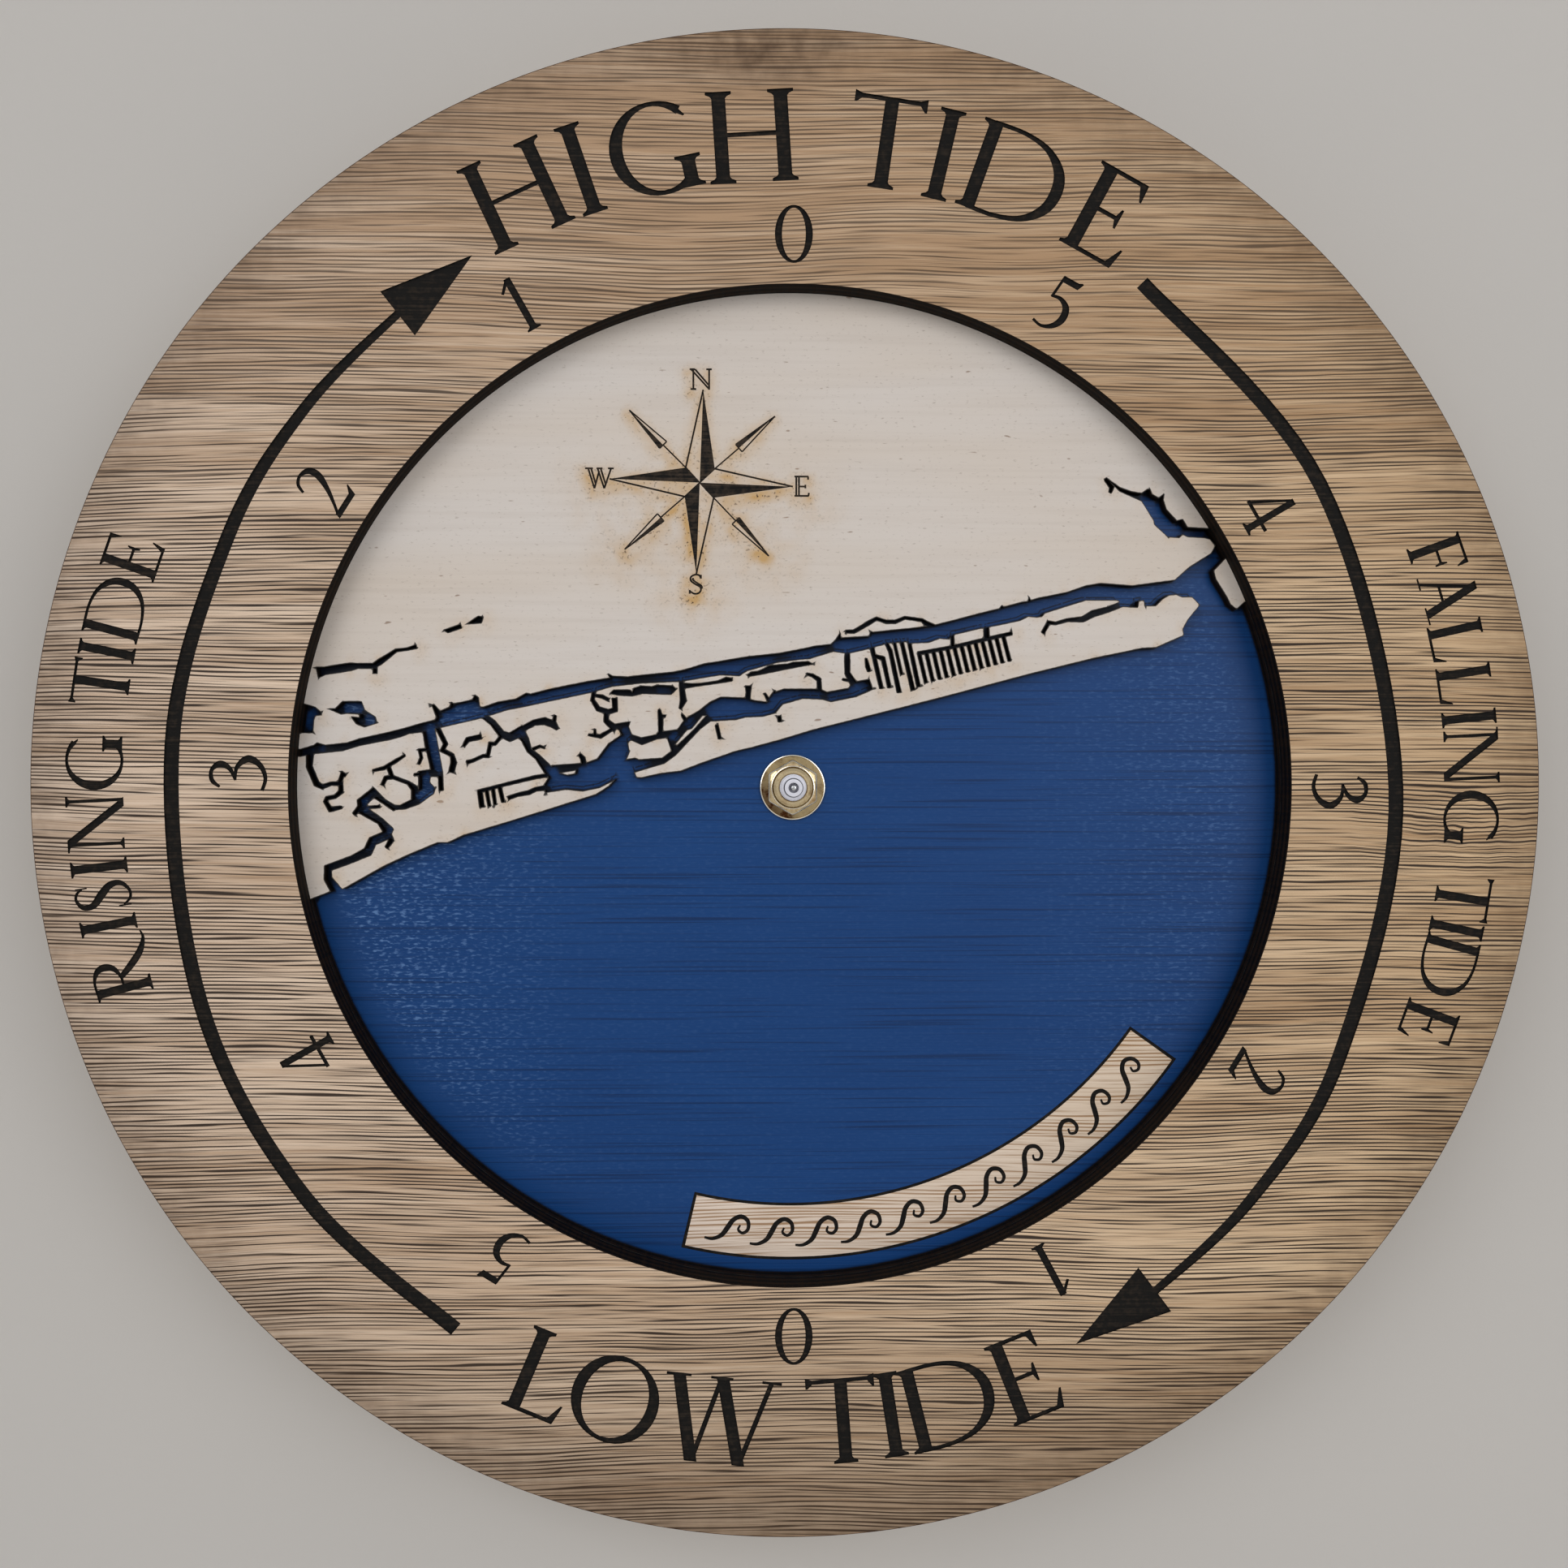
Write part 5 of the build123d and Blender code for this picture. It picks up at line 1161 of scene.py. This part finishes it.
class CLOCK_OT_movement_shell(bpy.types.Operator):
    """Dress the movement's case, cover, knob and gasket, and print the back's signs"""
    bl_idname = "clock.movement_shell"
    bl_label = "Movement Shell"

    def execute(self, context):
        fittings = context.scene.clock_fittings
        plastic = moulded_plastic("Moulded black ABS", fittings.case, 0.46, 0.4)
        grey = moulded_plastic("Moulded grey POM", linear("8E9296"), 0.4, 0.3)
        rubber = moulded_plastic("Pressed black rubber", linear("1B1B1B"), 0.78, 0.5)
        ink = moulded_plastic("Pad-printed white ink", linear("D8D8D4"), 0.6, 0.2)
        eased_copy("movement_case", 0.3, plastic)
        eased_copy("movement_cover", 0.25, plastic)
        eased_copy("rubber_gasket", 0.15, rubber)
        eased_copy("set_knob", 0.12, grey, "motion")
        low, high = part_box("movement_cover")
        knob_low, knob_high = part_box("set_knob")
        knob = ((knob_low.x + knob_high.x) / 2 / MM, (knob_low.z + knob_high.z) / 2 / MM)
        level = low.z / MM + 3.2
        signs = [bar(high.x / MM - 8.5, high.x / MM - 4.5, level - 0.4, level + 0.4),
                 bar(high.x / MM - 6.9, high.x / MM - 6.1, level - 2, level + 2),
                 bar(low.x / MM + 4.5, low.x / MM + 8.5, level - 0.4, level + 0.4)]
        arc = [(*polar(angle, 8.4), 0.8) for angle in range(-60, 61, 10)]
        signs.append([(knob[0] + x, knob[1] + z) for x, z in sweep(arc, 2)])
        for angle, lean in ((64, 1), (-64, -1)):
            corners = [polar(angle + 9 * lean, 8.4), polar(angle - 4 * lean, 9.6),
                       polar(angle - 4 * lean, 7.2)]
            signs.append([(knob[0] + x, knob[1] + z) for x, z in corners])
        for number, outline in enumerate(signs):
            print_sign("back_sign_%d" % number, outline, high.y / MM, ink)
        return {"FINISHED"}


def print_sign(name, outline, level, ink):
    """A printed sign, a film of ink lying on the back of the cover."""
    places, triangles, origins = triangulated([outline])
    kept = [triangle for triangle, origin in zip(triangles, origins) if 0 in origin]
    film = 0.03
    count = len(places)
    verts = [(x * MM, (level + offset) * MM, z * MM) for offset in (0.0, film) for x, z in places]
    faces = [list(triangle) for triangle in kept]
    faces += [[count + number for number in reversed(triangle)] for triangle in kept]
    owner = {(triangle[i - 1], triangle[i]) for triangle in kept for i in range(3)}
    faces += [[b, a, count + a, count + b] for a, b in owner if (b, a) not in owner]
    return add_piece(name, verts, faces, [0] * len(faces), [ink], "root")


class CLOCK_OT_battery(bpy.types.Operator):
    """Build the cell in its plain sleeve, and dress the contact strips"""
    bl_idname = "clock.battery"
    bl_label = "Battery"

    def execute(self, context):
        fittings = context.scene.clock_fittings
        sleeve = moulded_plastic("Shrunk PVC sleeve", fittings.sleeve, 0.3, 0.6)
        can = turned_metal("Nickel-plated can", fittings.steel, linear("8B8880"), 0.22, 0.3, False)
        spring = turned_metal("Stamped contact steel", fittings.steel, linear("77726A"), 0.3, 0.4, False)
        low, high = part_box("battery")
        radius = (high.z - low.z) / 2 / MM
        centre = ((low.y + high.y) / 2 / MM, (low.z + high.z) / 2 / MM)
        left, right = low.x / MM, high.x / MM
        shoulder = right - 1.2
        body = turned_piece("battery_sleeve", [
            (radius - 1.5, left + 0.15), (radius - 0.5, left + 0.05), (radius - 0.12, left + 0.2),
            (radius, left + 0.6), (radius, shoulder - 0.7), (radius - 0.15, shoulder - 0.2),
            (radius - 0.6, shoulder), (radius - 1.6, shoulder), (radius - 1.6, shoulder - 0.25),
            (radius - 1.7, left + 0.3)], [sleeve], "battery", centre, 96, "X")
        ends = turned_piece("battery_can", [
            (0.01, left), (radius - 1.7, left), (radius - 1.45, left + 0.2), (radius - 1.62, left + 0.6),
            (radius - 1.62, shoulder - 0.3), (radius - 1.7, shoulder - 0.12), (2.9, shoulder - 0.12),
            (2.75, shoulder + 0.1), (2.75, right - 0.25), (2.5, right), (0.01, right)], [can], "battery",
            centre, 96, "X")
        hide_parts("battery")
        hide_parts("battery")
        eased_copy("positive_contact", 0.08, spring)
        eased_copy("negative_contact", 0.08, spring)
        return {"FINISHED"}


class CLOCK_OT_inner_works(bpy.types.Operator):
    """Dress the wheels, motor and circuit inside the case"""
    bl_idname = "clock.inner_works"
    bl_label = "Inner Works"

    def execute(self, context):
        fittings = context.scene.clock_fittings
        white = moulded_plastic("Moulded wheel acetal", linear("D2D0C6"), 0.36, 0.3, 0.05)
        plates = turned_metal("Stamped motor steel", fittings.steel, linear("7F7C78"), 0.34, 0.5, False)
        copper = turned_metal("Enamelled copper wire", linear("B96A3A"), linear("7E3F1E"), 0.3, 0.12, False)
        ferrite = moulded_plastic("Sintered ferrite", linear("3A3A3C"), 0.6, 0.3)
        nylon = moulded_plastic("Moulded natural nylon", linear("D8CFBB"), 0.4, 0.3)
        laminate = moulded_plastic("Pressed phenolic laminate", linear("8A6233"), 0.5, 0.5)
        resin = moulded_plastic("Cast black epoxy", linear("141414"), 0.25, 0.8)
        can = turned_metal("Drawn nickel can", fittings.steel, linear("8E8C86"), 0.2, 0.4, False)
        # Each piece with its body, the width of its eased edges in millimetres, its finish and its slot
        for node, body, width, material, slot in (
                ("motion_wheel", "motion", 0.05, white, "wheel_plastic"),
                ("centre_wheel", "centre", 0.05, white, "wheel_plastic"),
                ("third_wheel", "third", 0.05, white, "wheel_plastic"),
                ("step_wheel", "step", 0.05, white, "wheel_plastic"),
                ("rotor_pinion", "rotor", 0.05, white, "wheel_plastic"),
                ("rotor_magnet", "rotor", 0.1, ferrite, "magnet_ferrite"),
                ("stator", "root", 0.08, plates, "motor_steel"),
                ("coil_core", "root", 0.08, plates, "motor_steel"),
                ("coil_bobbin", "root", 0.1, nylon, "bobbin_plastic"),
                ("coil_winding", "root", 0.1, copper, "winding_copper"),
                ("circuit_board", "root", 0.06, laminate, "board_laminate"),
                ("control_chip", "root", 0.3, resin, "chip_resin"),
                ("quartz_crystal", "root", 0.15, can, "crystal_can")):
            eased_copy(node, width, material, body)
        return {"FINISHED"}


class CLOCK_OT_stage(bpy.types.Operator):
    """Set up the wall, floor, light and camera"""
    bl_idname = "clock.stage"
    bl_label = "Stage"

    def execute(self, context):
        scene = context.scene
        settings = scene.clock_stage
        scene.view_settings.view_transform = "Standard"
        rest = cad_bounds[1]
        self.add_wall(scene, settings, rest[1] + 0.8 * MM)
        self.add_floor(scene, settings)
        self.add_light(scene, settings)
        camera = bpy.data.objects.new("camera", bpy.data.cameras.new("camera"))
        camera.data.sensor_width = 36
        camera.data.lens = 36.05
        camera.data.clip_start = 10 * MM
        camera.location = (-10.0 * MM, -348.8 * MM, 5.5 * MM)
        camera.rotation_euler = (math.radians(90 - 0.848), 0, math.radians(-1.449))
        scene.collection.objects.link(camera)
        scene.camera = camera
        return {"FINISHED"}

    def add_wall(self, scene, settings, depth):
        """Matt painted wall close behind the clock; seen from behind it is clear, so the back shows."""
        material, add, shader, places = new_material("Rolled matt wall paint", Roughness=0.9,
                                                     Specular_IOR_Level=0.2)
        # Roller stipple of 1.5 mm
        stipple = add("TexNoise", {"Vector": places, "Scale": 1 / (1.5 * MM), "Detail": 3.0})
        uneven = add("TexNoise", {"Vector": places, "Scale": 1 / (120 * MM), "Detail": 2.0})
        join(shader, {
            "Base Color": add("Mix", {0: uneven, 6: settings.wall, 7: linear("BDBAB6")}, data_type="RGBA"),
            "Normal": add("Bump", {"Strength": 0.15, "Distance": 0.2 * MM, "Height": stipple})})
        behind = add("NewGeometry").outputs["Backfacing"]
        shown = add("MixShader", {0: behind, 1: shader, 2: add("BsdfTransparent")})
        join(material.node_tree.nodes["Material Output"], {"Surface": shown})
        size = 2.0
        corners = [(-size, depth, -size), (size, depth, -size), (size, depth, size), (-size, depth, size)]
        wall = self.add_plane(scene, "wall", corners, material)
        wall.visible_shadow = False
        wall.visible_diffuse = False
        wall.visible_glossy = False

    def add_floor(self, scene, settings):
        """Plain pale floor well below the clock."""
        material, add, shader, places = new_material("Smooth pale screed", Roughness=0.7,
                                                     Specular_IOR_Level=0.3)
        cloud = add("TexNoise", {"Vector": places, "Scale": 1 / (90 * MM), "Detail": 4.0})
        join(shader, {
            "Base Color": add("Mix", {0: cloud, 6: settings.floor, 7: linear("CBC8C3")}, data_type="RGBA")})
        level, size = -0.42, 3.0
        corners = [(-size, -size, level), (size, -size, level), (size, size, level), (-size, size, level)]
        self.add_plane(scene, "floor", corners, material)

    def add_plane(self, scene, name, corners, material):
        """One flat stage piece."""
        mesh = bpy.data.meshes.new(name)
        mesh.from_pydata(corners, [], [[0, 1, 2, 3]])
        mesh.materials.append(material)
        plane = bpy.data.objects.new(name, mesh)
        scene.collection.objects.link(plane)
        return plane

    def add_light(self, scene, settings):
        """Large soft lamps at the left and right, one for the back, and even light from all sides."""
        for name, place, size, power in (("key", (-0.85, -1.6, 0.7), 1.1, settings.key_power),
                                         ("fill", (0.9, -1.6, 0.35), 1.1, 0.9 * settings.key_power),
                                         ("back", (0.8, 1.3, 0.9), 1.2, 1.6 * settings.key_power)):
            lamp = bpy.data.objects.new(name, bpy.data.lights.new(name, "AREA"))
            lamp.data.size = size
            lamp.data.energy = power
            lamp.location = place
            lamp.rotation_euler = (-Vector(place)).to_track_quat("-Z", "Y").to_euler()
            scene.collection.objects.link(lamp)
        world = scene.world or bpy.data.worlds.new("studio")
        scene.world = world
        world.use_nodes = True
        background = world.node_tree.nodes["Background"]
        background.inputs["Color"].default_value = linear("F4F5F8")
        background.inputs["Strength"].default_value = settings.sky


class CLOCK_PT_panel(bpy.types.Panel):
    """Lists the clock's pieces"""
    bl_label = "Tide Clock"
    bl_idname = "CLOCK_PT_panel"
    bl_space_type = "VIEW_3D"
    bl_region_type = "UI"
    bl_category = "Tide Clock"

    def draw(self, context):
        for operator in OPERATORS:
            self.layout.operator(operator.bl_idname)
        for settings in (context.scene.clock_wood, context.scene.clock_fittings, context.scene.clock_stage):
            for name in settings.__annotations__:
                self.layout.prop(settings, name)


SETTINGS = {"clock_wood": DialWoodSettings, "clock_fittings": FittingSettings, "clock_stage": StageSettings}
OPERATORS = [
    CLOCK_OT_tide_ring, CLOCK_OT_land, CLOCK_OT_sea_board, CLOCK_OT_shaft_metal, CLOCK_OT_hand_tubes,
    CLOCK_OT_movement_shell, CLOCK_OT_battery, CLOCK_OT_inner_works, CLOCK_OT_stage,
]


def register():
    for cls in [*SETTINGS.values(), *OPERATORS, CLOCK_PT_panel]:
        bpy.utils.register_class(cls)
    for name, settings in SETTINGS.items():
        setattr(bpy.types.Scene, name, PointerProperty(type=settings))


def unregister():
    for name in SETTINGS:
        delattr(bpy.types.Scene, name)
    for cls in [CLOCK_PT_panel, *reversed(OPERATORS), *SETTINGS.values()]:
        bpy.utils.unregister_class(cls)


def main():
    register()
    bpy.ops.clock.stage()
    bpy.ops.clock.tide_ring()
    bpy.ops.clock.land()
    bpy.ops.clock.sea_board()
    bpy.ops.clock.shaft_metal()
    bpy.ops.clock.hand_tubes()
    bpy.ops.clock.movement_shell()
    bpy.ops.clock.battery()
    bpy.ops.clock.inner_works()


if __name__ == "__main__":
    main()
